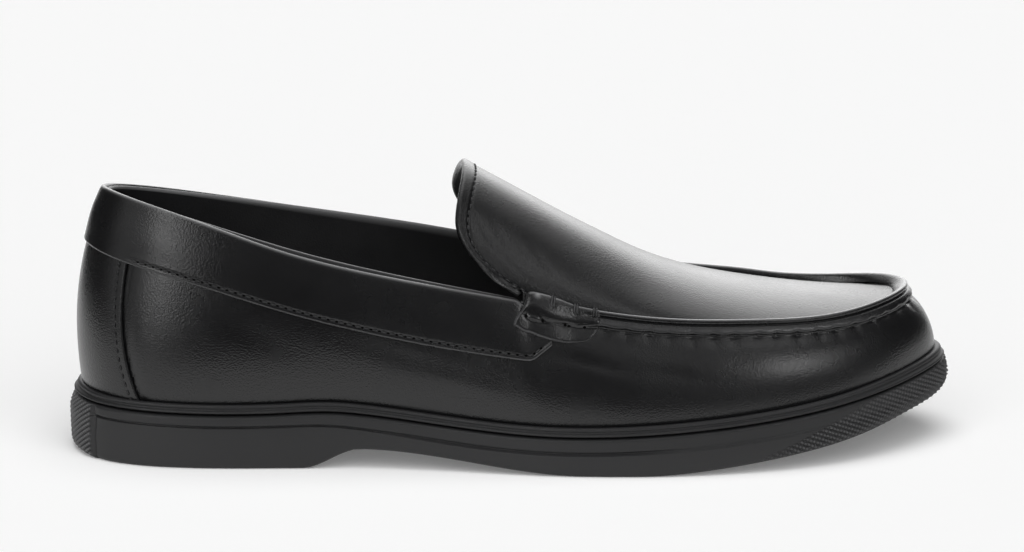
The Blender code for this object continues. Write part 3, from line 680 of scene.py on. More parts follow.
def moulded_rubber(name, dark, light):
    """Moulded rubber: matt skin from the mould, with a faint spark texture."""
    material, tree, shader, place = new_finish(name)
    spark = add(tree, "TexNoise", {"Vector": place, "Scale": per_mm(0.35), "Detail": 3.0})
    bloom = add(tree, "TexNoise", {"Vector": place, "Scale": per_mm(14.0), "Detail": 4.0}).outputs["Fac"]
    mixed = add(tree, "Mix", {"Factor": bloom, "A": linear(dark), "B": linear(light)}, data_type="RGBA")
    # Painted highlight: a lighter grey on the tops of the knurled ribs, by the share stored on each point
    highlight_mask = add(tree, "Attribute", attribute_name="painted_highlight")
    tops = {"Factor": highlight_mask.outputs["Fac"], "A": mixed.outputs["Result"], "B": linear(RIB_HIGHLIGHT_GREY)}
    colour = add(tree, "Mix", tops, data_type="RGBA")
    shine = add(tree, "MapRange", {"Value": bloom, "To Min": 0.42, "To Max": 0.55})
    skin = add(tree, "Bump", {"Height": spark.outputs["Fac"], "Strength": 0.25, "Distance": 0.08 * MM})
    look = {"Base Color": colour.outputs["Result"], "Roughness": shine.outputs["Result"]}
    feed(tree, shader, {**look, "Normal": skin.outputs["Normal"], "IOR": 1.46})
    return material


def hole_shade_finish(name, colour):
    """Needle hole: a near-black finish without gloss, painted shade in place of the shade inside the hole."""
    material, tree, shader, place = new_finish(name)
    fibre = add(tree, "TexNoise", {"Vector": place, "Scale": per_mm(0.2), "Detail": 2.0})
    rough = add(tree, "Bump", {"Height": fibre.outputs["Fac"], "Strength": 0.4, "Distance": 0.1 * MM})
    look = {"Base Color": linear(colour), "Roughness": 0.95, "Specular IOR Level": 0.1}
    feed(tree, shader, {**look, "Normal": rough.outputs["Normal"]})
    return material


def bonded_thread(name, dark, light):
    """Waxed polyester thread: twisted strands with a dull shine."""
    material, tree, shader, place = new_finish(name)
    strand = add(tree, "TexWave", {"Vector": place, "Scale": per_mm(1.2), "Distortion": 1.5}).outputs["Fac"]
    mixed = add(tree, "Mix", {"Factor": strand, "A": linear(dark), "B": linear(light)}, data_type="RGBA")
    twist = add(tree, "Bump", {"Height": strand, "Strength": 0.5, "Distance": 0.08 * MM})
    look = {"Base Color": mixed.outputs["Result"], "Normal": twist.outputs["Normal"], "Roughness": 0.55}
    feed(tree, shader, look)
    return material


# Upper. Painted highlights on the seam's crest and on its roll: middle, half width and strength, by height
# over the apron's edge.
RIDGE_HIGHLIGHT, ROLL_HIGHLIGHT = (3.0, 0.2), (-0.6, 0.8, 0.12)
BELOW_SEAM = -9.0


def make_vamp_and_quarters(calf):
    """Outer leather of the sides, with the rolled and stitched moc seam round the apron."""
    u = stretches((0.0, SADDLE_OUT, SADDLE_IN, 1.0), (2.0, 0.95, 2.0))
    points = vamp_points(u, 20, 38)
    rise = np.append(np.full(points.shape[1] - len(SEAM_PATH), BELOW_SEAM), np.array(SEAM_PATH)[:, 1])
    outside = np.arange(len(rise)) < len(rise) - SEAM_INNER_ROWS
    # Painted highlights along the seam's crest and on its roll, none on the roll round the toe
    rolled = bump(rise, *ROLL_HIGHLIGHT) * outside * (1.0 - toe_share(u)[:, None])
    painted_highlight = seam_growth(u)[:, None] * np.maximum(bump(rise, *RIDGE_HIGHLIGHT), rolled)
    bm = bmesh.new()
    lay_grid(bm, points, closed=True, painted_highlight=painted_highlight)
    piece("vamp_and_quarters", bm, calf, "calf", "upper")


# Wrinkles of the apron at the throat's corners: share across, distance from the throat, turn, length, depth
APRON_WRINKLES = (
    (-0.86, 14.0, 0.9, 7.0, -0.20),
    (-0.83, 19.0, 0.8, 8.0, -0.22),
    (-0.86, 25.0, 0.7, 7.0, -0.18),
    (-0.80, 30.0, 0.7, 8.0, -0.16),
    (0.86, 15.0, -0.9, 7.0, -0.20),
    (0.83, 21.0, -0.8, 8.0, -0.20),
    (0.84, 28.0, -0.7, 7.0, -0.16),
)
APRON_HALF, WRINKLE_WIDTH = 34.0, 1.1

# Hem of the throat: its share of the apron, height, softness of its step, groove, and sizes of its rim
HEM_SHARE, HEM_HEIGHT, HEM_STEP = 0.065, 0.28, 0.5
HEM_GROOVE = (HEM_WIDTH, 0.45, 0.3)
HEM_HALF, HEM_FULLNESS, HEM_LAP, HEM_INNER_ROWS = 1.3, 0.8, 0.2, 5
# Painted highlight on the hem's edge and rim, by rows from the rim's foot, fading out towards the corners of
# the throat
HEM_HIGHLIGHT, RIM_HIGHLIGHT, RIM_HIGHLIGHT_END = (7.0, 2.2, 0.12), 0.5, 4.0
HIGHLIGHT_FADE, HIGHLIGHT_FADE_START, HIGHLIGHT_FADE_END = 0.85, 0.42, 0.62
# Crease of the apron beside its seam, and the fall of its inner edge
SEAM_CREASE = (0.8, 1.6, 0.4)
INNER_EDGE_DROP, INNER_EDGE_WIDTH = 1.7, 13.0


def apron_points():
    """Plain face of the apron, its normals, its face with all relief, and the distance in from the throat."""
    p = np.concatenate([np.linspace(0.0, HEM_SHARE, 27)[:-1], np.linspace(HEM_SHARE, 1.0, 100)])
    q, plain, normal = apron_grid(p, 111)
    inside = run_along(plain, 0)
    across = run_along(plain, 1)
    from_inner = across[:, -1:] - across
    to_seam = np.minimum(across, from_inner)
    height = HEM_HEIGHT * (1.0 - smooth(HEM_WIDTH - HEM_STEP, HEM_WIDTH + HEM_STEP, inside))
    height = height - bump(inside, *HEM_GROOVE)
    height = height - bump(to_seam, *SEAM_CREASE) * smooth(0.1, 0.2, p)[:, None]
    falling = INNER_EDGE_DROP * (1.0 - smooth(0.0, INNER_EDGE_WIDTH, from_inner))
    height = height - falling * smooth(0.12, 0.32, p)[:, None]
    for share, start, turn, length, depth in APRON_WRINKLES:
        aside = (q[None, :] - share) * APRON_HALF
        beside = (inside - start) * math.cos(turn) + aside * math.sin(turn)
        ahead = aside * math.cos(turn) - (inside - start) * math.sin(turn)
        height = height + depth * bump(beside, 0.0, WRINKLE_WIDTH) * bump(ahead, 0.0, length)
    return plain, normal, plain + normal * height[..., None], inside


def make_apron(calf, thread):
    """Apron of the moc toe, with a turned and stitched hem round the throat."""
    plain, normal, points, inside = apron_points()
    edge, out = points[0], normal[0]
    off = unit(plain[0] - plain[2])
    off = unit(off - out * np.sum(off * out, -1, keepdims=True))
    turn = np.linspace(np.pi, 0.0, 13)[:-1, None, None]
    rim = edge - out * HEM_HALF + HEM_HALF * (np.cos(turn) * out + HEM_FULLNESS * np.sin(turn) * off)
    under = slice(HEM_INNER_ROWS, 0, -1)
    inner = plain[under] - normal[under] * (2.0 * HEM_HALF - HEM_LAP)
    grid = np.concatenate([inner, rim, points])
    row = np.arange(len(grid)) - len(inner)
    # Painted highlight along the hem's edge and rim, fading towards the corners of the throat
    painted_highlight = np.maximum(bump(row, *HEM_HIGHLIGHT), RIM_HIGHLIGHT * (1.0 - smooth(0.0, RIM_HIGHLIGHT_END, row)))
    aside = np.abs(np.linspace(-1.0, 1.0, grid.shape[1]))
    bm = bmesh.new()
    lay_grid(bm, grid, painted_highlight=painted_highlight[:, None] * (1.0 - HIGHLIGHT_FADE * smooth(HIGHLIGHT_FADE_START, HIGHLIGHT_FADE_END, aside)))
    piece("apron", bm, calf, "calf")

    columns = np.arange(4, points.shape[1] - 4)
    rows = np.argmin(np.abs(inside[:, columns] - HEM_WIDTH), axis=0)
    sewn = bmesh.new()
    stitch_row(sewn, points[rows, columns], normal[rows, columns], HEM_PITCH)
    piece("throat_stitches", sewn, thread, "calf")


def to_saddle(u):
    """Share of the way from the heel to the saddle, below 0 on the inner side as u is."""
    return u / np.where(u < 0, 1.0 - SADDLE_IN, SADDLE_OUT)


def band_depth(u):
    """Depth of the collar band at u, which may run below 0 on the inner side."""
    return BAND_DEPTH_HEEL + (BAND_DEPTH_FRONT - BAND_DEPTH_HEEL) * np.clip(np.abs(to_saddle(u)), 0.0, 1.0)


def band_top(past):
    """Height of the collar band over the wall. Its ends are skived thin under the saddle tabs."""
    return GAP + BAND_THICKNESS * (1.0 - BAND_SKIVED * smooth(SKIVE_START, SKIVE_END, past))


def over_top(u, lift, rise):
    """Points over the collar's edge: lift off its outer face, and rise above its top."""
    top = np.ones_like(u)
    normal = wall_normal(u, top)
    along = unit(wall(u, top) - wall(u, top - 0.02))
    return wall(u, top)[:, None] + normal[:, None] * lift[..., None] + along[:, None] * rise[..., None]


# Edges of the collar: share of the way from the heel to a saddle, below 0 on the inner side, then the
# height of the lining's edge over the collar line, and the fall of the band's roll below its plain place.
lining_edge = open_spline((
    (-1.0, 1.3), (-0.75, 0.95), (-0.45, -0.1), (-0.2, -1.0), (0.0, -0.4),
    (0.12, 0.75), (0.3, 0.85), (0.5, 0.8), (0.75, 0.1), (1.0, -0.65),
))
band_edge = open_spline((
    (-1.0, 0.3), (-0.5, 0.5), (-0.2, 0.9), (0.0, 0.1), (0.12, -1.3),
    (0.26, -1.3), (0.5, 0.35), (0.75, 0.85), (1.0, 1.35),
))

# Collar band: rows of its cut edge and height of its stitched strip, then edge, groove, filling and roll
CUT_EDGE_ROWS, STITCHED_STRIP = (0.0, 0.08, 0.2, 0.4, 0.7), 4.6
CUT_EDGE_LIFT, CUT_EDGE_RADIUS = 0.15, 0.7
BAND_GROOVE, BAND_GROOVE_WIDTH, GROOVE_FADE = 0.3, 0.5, 0.004
FILLING, FILLING_AT, FILLING_WIDTH, FILLING_END = 0.45, 0.45, 0.33, 12.0
FACE_TOP, LEAST_DROP = 1.1, 0.2
ROLL_HEIGHT, ROLL_SUNK, ROLL_INWARDS, ROLL_TURN = 1.15, 0.45, 0.25, 0.92
# Painted highlights on the cut edge, by row, and on the rolled top, by turn: middle, half width and strength
CUT_EDGE_HIGHLIGHT, COLLAR_HIGHLIGHT = (0.2, 0.3, 0.3), (0.9, 0.5, 0.6)
BAND_STITCH_SUNK, BAND_HOLE, BAND_STITCH_END = 0.2, 0.48, 2.0


def make_collar_band(calf, thread, hole):
    """Cuff round the topline: a stitched lower edge, a softly filled face and a rolled top."""
    start = SADDLE_IN - 1.0 - BAND_PAST_SADDLE / GIRTH
    end = SADDLE_OUT + BAND_PAST_SADDLE / GIRTH
    u = spaced(start, end, 1.3 / GIRTH, finer=0.4)
    past = np.maximum(SADDLE_IN - 1.0 - u, u - SADDLE_OUT) * GIRTH - BAND_CORNER_AT
    corner = BAND_CORNER_SLOPE * (past + np.hypot(past, BAND_CORNER_ROUND)) / 2.0
    depth = (band_depth(u) - SEAM_HEIGHT * seam_growth(u) - corner)[:, None]
    sewn_from = COUNTER_REACH_TOP / GIRTH
    stitched = smooth(sewn_from, sewn_from + GROOVE_FADE, np.abs(u))[:, None]

    up = np.append(CUT_EDGE_ROWS, np.linspace(1.0, STITCHED_STRIP, 12))
    face = np.linspace(0.0, 1.0, 15)[1:]
    below = band_edge(to_saddle(u))[:, None]
    face_drop = (depth - STITCHED_STRIP) * (1.0 - face) + (FACE_TOP + below) * face
    drop = np.maximum(np.hstack([depth - up, face_drop]), LEAST_DROP)
    inside = depth - drop
    full = band_top(past + BAND_CORNER_AT)[:, None]
    lift = CUT_EDGE_LIFT + (full - CUT_EDGE_LIFT) * edge_round(inside, CUT_EDGE_RADIUS)
    lift = lift - bump(inside, BAND_STITCH_IN, BAND_GROOVE_WIDTH, BAND_GROOVE) * stitched
    filled = bump(drop, depth * FILLING_AT, depth * FILLING_WIDTH, FILLING)
    lower = on_wall(u, drop, lift + filled * smooth(0.0, FILLING_END, -past)[:, None])

    turn = np.linspace(0.0, np.pi * ROLL_TURN, 11)
    lift = full / 2.0 - ROLL_INWARDS + (full / 2.0 + ROLL_INWARDS) * np.cos(turn)
    rolled = over_top(u, lift, ROLL_HEIGHT * np.sin(turn) - ROLL_SUNK - below)
    # Painted highlights on the cut edge and along the rolled top
    painted_highlight = np.concatenate([bump(up, *CUT_EDGE_HIGHLIGHT), np.zeros(len(face)), bump(turn, *COLLAR_HIGHLIGHT)])
    bm = bmesh.new()
    lay_grid(bm, np.concatenate([lower, rolled], 1), painted_highlight=painted_highlight)
    piece("stitched_collar_band", bm, calf, "calf", "collar_band")

    sewn, punched = bmesh.new(), bmesh.new()
    for side in (-1.0, 1.0):
        chosen = u[side * u > sewn_from + 1.5 / GIRTH]
        order = chosen[np.argsort(np.abs(chosen))]
        drop = np.interp(order, u, depth[:, 0])[:, None] - BAND_STITCH_IN
        lift = np.interp(order, u, full[:, 0])[:, None] - BAND_STITCH_SUNK
        line = on_wall(order, drop, lift)[:, 0]
        out = wall_normal(order[:, None], wall_shares(order, drop))[:, 0]
        stitch_row(sewn, line, out, BAND_PITCH, BAND_STITCH_END)
        pinhole_row(punched, line, out, BAND_PITCH, BAND_HOLE, BAND_STITCH_END)
    piece("collar_stitches", sewn, thread, "calf")
    piece("collar_pinholes", punched, hole, "calf")


# Counter: how far it runs under welt and band, rows of its edges, then edge, groove and depth in the wall
COUNTER_FOOT, COUNTER_TOP = -0.03, 1.04
COUNTER_EDGE_ROWS = (0.0, 0.003, 0.01, 0.02, 0.035)
COUNTER_EDGE_RADIUS, COUNTER_GROOVE, COUNTER_GROOVE_WIDTH = 0.45, 0.12, 0.5
COUNTER_SUNK, COUNTER_STITCH_SUNK = 0.25, 0.32


def make_heel_counter(calf, thread):
    """Back panel between the collar band and the welt, stitched inside its two upright edges."""
    up = np.linspace(COUNTER_FOOT, COUNTER_TOP, 60)
    edge = np.array(COUNTER_EDGE_ROWS) - 1.0
    along = np.concatenate([edge, np.linspace(-0.95, 0.95, 77), -edge[::-1]])
    a, b = np.meshgrid(along, up, indexing="ij")
    reach = counter_reach(b)

    def at(a):
        """The wall and its normal under the counter. a is -1 and 1 at its upright edges."""
        u = a * reach / GIRTH
        runs = wall_runs(u[:, 0])[:, -1:]
        high = band_depth(u)
        drop = high + (runs - WELT_RISE - high) * (1.0 - b)
        flat = u.ravel()
        v = wall_shares(flat, drop.reshape(-1, 1))[:, 0]
        return wall(flat, v).reshape(u.shape + (3,)), wall_normal(flat, v).reshape(u.shape + (3,))

    inside = (1.0 - np.abs(a)) * reach
    base, out = at(a)
    lift = (GAP + COUNTER_THICKNESS) * edge_round(inside, COUNTER_EDGE_RADIUS) - COUNTER_SUNK
    lift = lift - bump(inside, COUNTER_STITCH_IN, COUNTER_GROOVE_WIDTH, COUNTER_GROOVE)
    bm = bmesh.new()
    lay_grid(bm, base + out * lift[..., None])
    piece("back_counter", bm, calf, "calf", "heel_counter")

    sewn = bmesh.new()
    for side in (-1.0, 1.0):
        base, out = at(side * (1.0 - COUNTER_STITCH_IN / reach))
        line = base[0] + out[0] * (GAP + COUNTER_THICKNESS - COUNTER_STITCH_SUNK)
        stitch_row(sewn, line, out[0], BAND_PITCH)
    piece("counter_stitches", sewn, thread, "calf")


# Saddle tab: its ends before and past the saddle, then the depth of its lower edge and of its fold below the
# seam's crest, at places past the saddle.
TAB_BEHIND_SADDLE, TAB_PAST_SADDLE = 4.3, 24.0
tab_edge = open_spline((
    (-4.3, 10.5), (-1.5, 11.2), (1.6, 12.6), (8.3, 14.0), (13.0, 14.0),
    (17.8, 12.7), (21.0, 11.9), (23.0, 9.4), (24.0, 7.2),
))
tab_fold = open_spline((
    (-4.3, 5.5), (0.0, 5.6), (5.3, 6.1), (7.6, 6.9), (10.9, 7.5), (15.0, 7.5), (19.0, 7.5), (24.0, 7.0),
))

# Places of the thick whipped stitches, and of the needle holes under the fold, with their distance from it
TAB_WHIPS = (9.4, 16.6, 22.4)
TAB_HOLES = ((0.8, 0.6), (6.3, 0.6), (13.3, -0.3), (14.5, 0.1), (19.2, -0.2))
TAB_HOLE, WHIP_THREAD = 0.62, 0.4
WHIP_TOP, WHIP_FOOT, WHIP_DIVE, WHIP_DIVE_DEPTH = -2.8, 3.6, 2.8, 0.6
WHIP_ASIDE, WHIP_SLANT, WHIP_LIFT = 0.4, 0.05, 0.2

# Form of a tab: its reach over the crest, its rise, the slant of its rear end, its thickness and cut edge
TAB_OVER, TAB_RISE, TAB_REAR_SLANT = 3.4, 1.7, 4.9
TAB_THICKNESS, TAB_THINNED, TAB_EDGE_RADIUS, TAB_SUNK, TAB_LEAST = 1.3, 0.7, 1.1, 0.25, 0.55
# Its fold: depth, half widths above and below it, and the swelling above it
FOLD_DEPTH, FOLD_ABOVE, FOLD_BELOW = 0.45, 1.5, 0.5
FOLD_SWELL, FOLD_SWELL_UP, FOLD_SWELL_WIDTH = 0.2, 2.2, 1.4
HOLE_DENT, HOLE_DENT_LONG, HOLE_DENT_HIGH = 0.22, 1.2, 0.9
WHIP_DENT, WHIP_DENT_LONG, WHIP_DENT_HIGH, WHIP_DENT_AT = 0.22, 0.8, 2.2, 0.6
WELL_INSIDE = 9.0


def between(grid, x, y):
    """Points of a grid at places between its rows and columns."""
    x, y = np.clip(x, 0.0, grid.shape[0] - 1.001), np.clip(y, 0.0, grid.shape[1] - 1.001)
    i, j = x.astype(int), y.astype(int)
    a, b = (x - i)[..., None], (y - j)[..., None]
    near = grid[i, j] * (1.0 - b) + grid[i, j + 1] * b
    return near * (1.0 - a) + (grid[i + 1, j] * (1.0 - b) + grid[i + 1, j + 1] * b) * a


def evened(grid, passes):
    """A grid of vectors, each averaged with its neighbours again and again."""
    for _ in range(passes):
        for axis in (0, 1):
            ends = [(1, 1) if k == axis else (0, 0) for k in range(3)]
            wide = np.moveaxis(np.pad(grid, ends, mode="edge"), axis, 0)
            grid = np.moveaxis((wide[:-2] + 2.0 * wide[1:-1] + wide[2:]) / 4.0, 0, axis)
    return grid


def tab_relief(past, down, inside, over_band):
    """Height of a saddle tab over the seam it covers: its own thickness, fold, dents and stitch pulls."""
    fold = tab_fold(past)
    clear = smooth(0.3, 2.2, inside)
    beyond = smooth(8.0, 10.0, past)
    thick = TAB_THICKNESS - TAB_THINNED * smooth(8.0, 18.0, past) + over_band * beyond
    height = thick * edge_round(inside, TAB_EDGE_RADIUS) - TAB_SUNK + over_band * (1.0 - beyond)
    valley = bump(down, fold, np.where(down < fold, FOLD_ABOVE, FOLD_BELOW), FOLD_DEPTH)
    swell = bump(down, fold - FOLD_SWELL_UP, FOLD_SWELL_WIDTH, FOLD_SWELL)
    height = height + clear * (swell - valley)
    for place, below in TAB_HOLES:
        dent = bump(past, place, HOLE_DENT_LONG, HOLE_DENT) * bump(down, fold + below, HOLE_DENT_HIGH)
        height = height - clear * dent
    for place in TAB_WHIPS:
        pull = bump(past, place, WHIP_DENT_LONG, WHIP_DENT)
        height = height - pull * bump(down, WHIP_DENT_AT, WHIP_DENT_HIGH)
    return np.maximum(height, TAB_LEAST * smooth(0.3, 1.2, inside) - TAB_SUNK)


def over_band_at(past, down):
    """How far the end of the collar band lifts a saddle tab."""
    ending = 1.0 - smooth(BAND_PAST_SADDLE - 4.0, BAND_PAST_SADDLE + 10.0, past)
    return band_top(past) * ending * smooth(1.0, 5.0, down)


def down_from_crest(lines, downs):
    """Resamples lines that run up over the seam at even distances down from its crest."""
    run = run_along(lines, 1)
    down = run[:, -1 - SEAM_INNER_ROWS, None] - run
    return np.array([place_on(line[::-1], d[::-1], downs) for line, d in zip(lines, down)])


def tab_ground(saddle, forwards, past, downs):
    """Evened surface under a tab and its normals, at places past the saddle and down from the crest."""
    u = saddle + forwards * past / GIRTH
    drop = np.tile(np.linspace(20.0, 4.0, 60), (len(u), 1))
    plain = np.concatenate([wall(u[:, None], wall_shares(u, drop)), seam_points(u, TABBED_PATH, 4.0, 0.0)], 1)
    follows = smooth(17.0, 23.5, past)[:, None, None]
    base = down_from_crest(plain, downs) * (1.0 - follows)
    base = base + down_from_crest(vamp_points(u, 8, 60), downs) * follows
    raised = TAB_RISE * (1.0 - smooth(3.0, 21.0, past))[:, None] * (1.0 - smooth(0.0, 9.0, downs))
    base = evened(base + raised[..., None] * UP, 8)
    return base, unit(evened(grid_normals(base) * (-forwards), 60))


def make_saddle_tab(name, node, saddle, forwards, calf, thread, hole):
    """Gathered tab over the seam at a corner of the throat, whipped with thick thread."""
    step = 0.25
    base_past = np.arange(-TAB_BEHIND_SADDLE - 3.0, TAB_PAST_SADDLE + 3.0, step)
    downs = np.arange(-4.0, 18.0, step)
    base, normal = tab_ground(saddle, forwards, base_past, downs)

    def at(past, down):
        x, y = (past - base_past[0]) / step, (down - downs[0]) / step
        return between(base, x, y), unit(between(normal, x, y))

    along = spaced(0.0, 1.0, 1.0 / 100, finer=0.45)
    up = spaced(0.0, 1.0, 1.0 / 84, finer=0.35)
    along, up = np.meshgrid(along, up, indexing="ij")
    start = -TAB_BEHIND_SADDLE + TAB_REAR_SLANT * smooth(0.0, 0.75, up)
    past = start + (TAB_PAST_SADDLE - start) * along
    depth = tab_edge(past)
    down = depth * (1.0 - up) - TAB_OVER * up
    inside = np.minimum(np.minimum((depth - down) * 0.9, past - start), TAB_PAST_SADDLE - past)
    point, out = at(past, down)
    point = point + out * tab_relief(past, down, inside, over_band_at(past, down))[..., None]
    # Painted highlights along the tab's cut edge, over its crest and at its rear corner
    edge_highlight = (0.24 - 0.18 * smooth(4.0, 14.0, past)) * bump(inside, 0.2, 0.4)
    crest_highlight = bump(down, -0.25, 0.75) * smooth(1.0, 3.0, past)
    corner_highlight = bump(past, 4.4, 1.0, 0.75) * bump(down, 0.7, 0.8)
    painted_highlight = np.maximum(np.maximum(edge_highlight, crest_highlight), corner_highlight)
    # The inner tab is laid from its front to its back, so that its faces point outwards too
    order = slice(None, None, int(forwards))
    bm = bmesh.new()
    lay_grid(bm, point[order], painted_highlight=painted_highlight[order])
    piece(name, bm, calf, "calf", node)

    sewn = bmesh.new()
    down = np.linspace(WHIP_TOP, WHIP_FOOT, 15)
    for place in TAB_WHIPS:
        for aside in (-WHIP_ASIDE, WHIP_ASIDE):
            past = place + aside - WHIP_SLANT * down
            point, out = at(past, down)
            lift = tab_relief(past, down, np.full_like(past, WELL_INSIDE), 0.0) + WHIP_LIFT
            lift = lift - WHIP_DIVE_DEPTH * smooth(WHIP_DIVE, WHIP_FOOT, down)
            tube(sewn, point + out * lift[:, None], WHIP_THREAD, sides=8)
    piece(name + "_whipping", sewn, thread, "calf")

    punched = bmesh.new()
    for place, below in TAB_HOLES:
        past = np.array([place])
        down = tab_fold(past) + below
        point, out = at(past, down)
        lift = tab_relief(past, down, np.array([WELL_INSIDE]), over_band_at(past, down))
        dimple(punched, (point + out * lift[:, None])[0], out[0], TAB_HOLE)
    piece(name + "_holes", punched, hole, "calf")


# Lining: its rolled edge inside the collar line, the depth of its face under the wall and under the apron,
# and how far it stays above the foot of the wall
LINING_ROLL, LINING_ROLL_IN, LINING_FACE, LINING_OUTER = 0.85, 1.35, 2.2, 0.5
LINING_TURNED, LINING_TOP, LINING_FOOT, APRON_LINING = (-3.4, -2.2, -1.0), 1.2, 0.5, 2.45
# Painted highlight on the lining's rolled edge, by turn: middle, half width and strength; then the strength
# of the painted highlight over its inner side
LINING_EDGE_HIGHLIGHT, LINING_TOP_HIGHLIGHT = (1.3, 0.4, 0.8), 0.4


def make_lining(lining):
    """Lining of quarters, vamp and apron, with a rolled edge beside the collar band."""
    bm = bmesh.new()
    u = spaced(SADDLE_IN - 1.0 - 0.006, SADDLE_OUT + 0.006, 2.0 / GIRTH)
    turn = np.linspace(0.0, np.pi, 9)
    lift = np.tile(LINING_ROLL * np.cos(turn) - LINING_ROLL_IN, (len(u), 1))
    rise = LINING_ROLL * np.sin(turn) + lining_edge(to_saddle(u))[:, None]
    turned = np.tile(LINING_TURNED, (len(u), 1))
    outer = over_top(u, np.full_like(turned, -LINING_OUTER), turned)
    drop = LINING_TOP + (wall_runs(u)[:, -1:] - LINING_TOP - LINING_FOOT) * np.linspace(0.0, 1.0, 24)
    inner = on_wall(u, drop, np.full_like(drop, -LINING_FACE))
    # Painted highlights on the rolled edge and over its inner side
    wear_and_highlight = np.maximum(bump(turn, *LINING_EDGE_HIGHLIGHT), LINING_TOP_HIGHLIGHT * smooth(1.2, 1.8, turn))
    painted_highlight = np.concatenate([np.zeros(turned.shape[1]), wear_and_highlight, np.zeros(drop.shape[1])])
    lay_grid(bm, np.concatenate([outer, over_top(u, lift, rise), inner], 1), painted_highlight=painted_highlight)

    u = spaced(SADDLE_OUT - 0.004, SADDLE_IN + 0.004, 3.0 / GIRTH)
    drop = (wall_runs(u)[:, -1:] - LINING_FOOT) * np.linspace(0.0, 1.0, 20)
    lay_grid(bm, on_wall(u, drop, np.full_like(drop, -LINING_FACE)))

    _, plain, normal = apron_grid(np.linspace(0.004, 1.0, 46), 45)
    lay_grid(bm, (plain - normal * APRON_LINING)[::-1])
    piece("lining", bm, lining, "sock")


def filled_plan(u_out, inset, share):
    """Plan between the two sides of the sole's outline, moved in by inset, a function of u, and its width."""
    outer, inner = (outline(u, inset(u)) for u in (u_out, 1.0 - u_out))
    plan = outer[:, None] * (1.0 - share[:, None]) + inner[:, None] * share[:, None]
    return plan, np.linalg.norm(inner - outer, axis=-1)[:, None]


SOCK_CLEAR, SOCK_LOW, SOCK_ROUND = 0.5, 0.2, 1.6
FOOTBED_DEPTH, FOOTBED_EDGE = 1.2, 14.0


def make_insole(sock):
    """Sock leather over a shallow footbed."""
    share = 0.5 - 0.5 * np.cos(np.linspace(0.0, np.pi, 41))
    u_out = np.linspace(0.0, 0.5, 121)
    plan, width = filled_plan(u_out, lambda u: feather_inset(u) + WALL + SOCK_CLEAR, share)
    edge = np.minimum(share, 1.0 - share) * width
    z = bed(plan[..., 0]) - SOCK_LOW - FOOTBED_DEPTH * smooth(0.0, FOOTBED_EDGE, edge)
    z = z - SOCK_ROUND * (1.0 - smooth(0.0, SOCK_ROUND, edge))
    bm = bmesh.new()
    lay_grid(bm, at_height(plan, z))
    piece("sock_covered_insole", bm, sock, "sock", "insole")


# Sole. Knurling of the bumper and of the toe: pitch, height, depth in the rubber, lean and share of the
# cross cuts, painted highlight on the ribs' tops, and the top of the toe's knurling, as t and height over the
# underside.
KNURL_PITCH, KNURL_HEIGHT, KNURL_SUNK = 1.5, 0.95, 0.55
HEEL_KNURL, TOE_KNURL = (math.radians(29.0), 0.45), (math.radians(20.0), 0.8)
CUT_SLANT, RIB_POWER = 0.45, 1.6
HEEL_RIB_HIGHLIGHT, TOE_RIB_HIGHLIGHT = 0.95, 0.42
TOE_KNURL_TOP = ((226.0, 1.0), (240.0, 4.0), (258.0, 9.0), (276.0, 13.5), (292.0, 18.0), (LENGTH, 21.0))
KNURL_STEP, SOLE_STEP, KNURLED_HEEL, KNURLED_TOE = 0.29, 2.4, 26.0, 0.042

# Steps of its side: the bumper with its gutter, the recessed side of the heel, the notch and the band, whose
# rounded lip is given as inset and height under the groove
BUMPER_REACH, BUMPER_STEP, BUMPER_STEP_END = 23.0, 1.2, 1.6
GUTTER_AT, GUTTER_WIDTH, GUTTER_WIDER, GUTTER_DEPTH = 0.9, 0.7, 0.8, 0.75
HEEL_RECESS, RECESS_END, FRONT_FULL = 0.65, 95.0, 125.0
NOTCH_DEPTH, NOTCH_FADE, TOE_FROM, TOE_FULL = 0.9, 188.0, 216.0, 250.0
SOLE_BAND_HEEL, SOLE_BAND_FRONT, BAND_GROWS, BAND_GROWN = 3.9, 5.3, 60.0, 140.0
BAND_INSET, BAND_INSET_FRONT, BAND_FLUSH_FROM, BAND_FLUSH = 0.1, 0.55, 225.0, 270.0
STEP_HEIGHTS = (-0.45, -0.28, 0.0, 0.3, 0.6, 0.9)
LIP_PATH = ((0.08, -0.75), (0.3, -0.45), (0.7, -0.22), (1.4, -0.06), (3.2, -0.1))

# Its rounded edges and ends: radius under the tread, draft of the side, lean of the ends at their top
EDGE_RADIUS, END_RADIUS_MORE, TOE_RADIUS_MORE, SIDE_DRAFT, TREAD_UNDER = 1.7, 1.7, 2.6, 0.25, 0.2
HEEL_END, HEEL_END_FADE, TOE_END_FADE, TOE_END = 10.0, 30.0, 250.0, 290.0
END_LEAN, TOE_LEAN_LESS, END_LEAN_DEPTH = 1.5, 0.6, 7.0
SEAT_INSET, SEAT_LOW = 3.1, 0.08


def sole_columns():
    """Places round the sole, close together where the bumper and the toe are knurled."""
    heel = KNURLED_HEEL / GIRTH
    outer, inner = PLACE["ball, outer"] + KNURLED_TOE, PLACE["ball, inner"] - KNURLED_TOE
    places = (0.0, heel, outer, inner, 1.0 - heel, 1.0)
    return stretches(places, (KNURL_STEP, SOLE_STEP, KNURL_STEP, SOLE_STEP, KNURL_STEP))


def rib(phase):
    """Rounded ribs with sharp valleys between them."""
    return 1.0 - (2.0 * np.abs(phase - np.rint(phase))) ** RIB_POWER


def knurl(along, up, lean, cut):
    """Moulded knurling: ribs that lean along the sole, cut across into short lengths."""
    ribs = rib((up - math.tan(lean) * along) * math.cos(lean) / KNURL_PITCH)
    cuts = rib((along + CUT_SLANT * up) / KNURL_PITCH)
    return ribs * (1.0 - cut + cut * cuts)


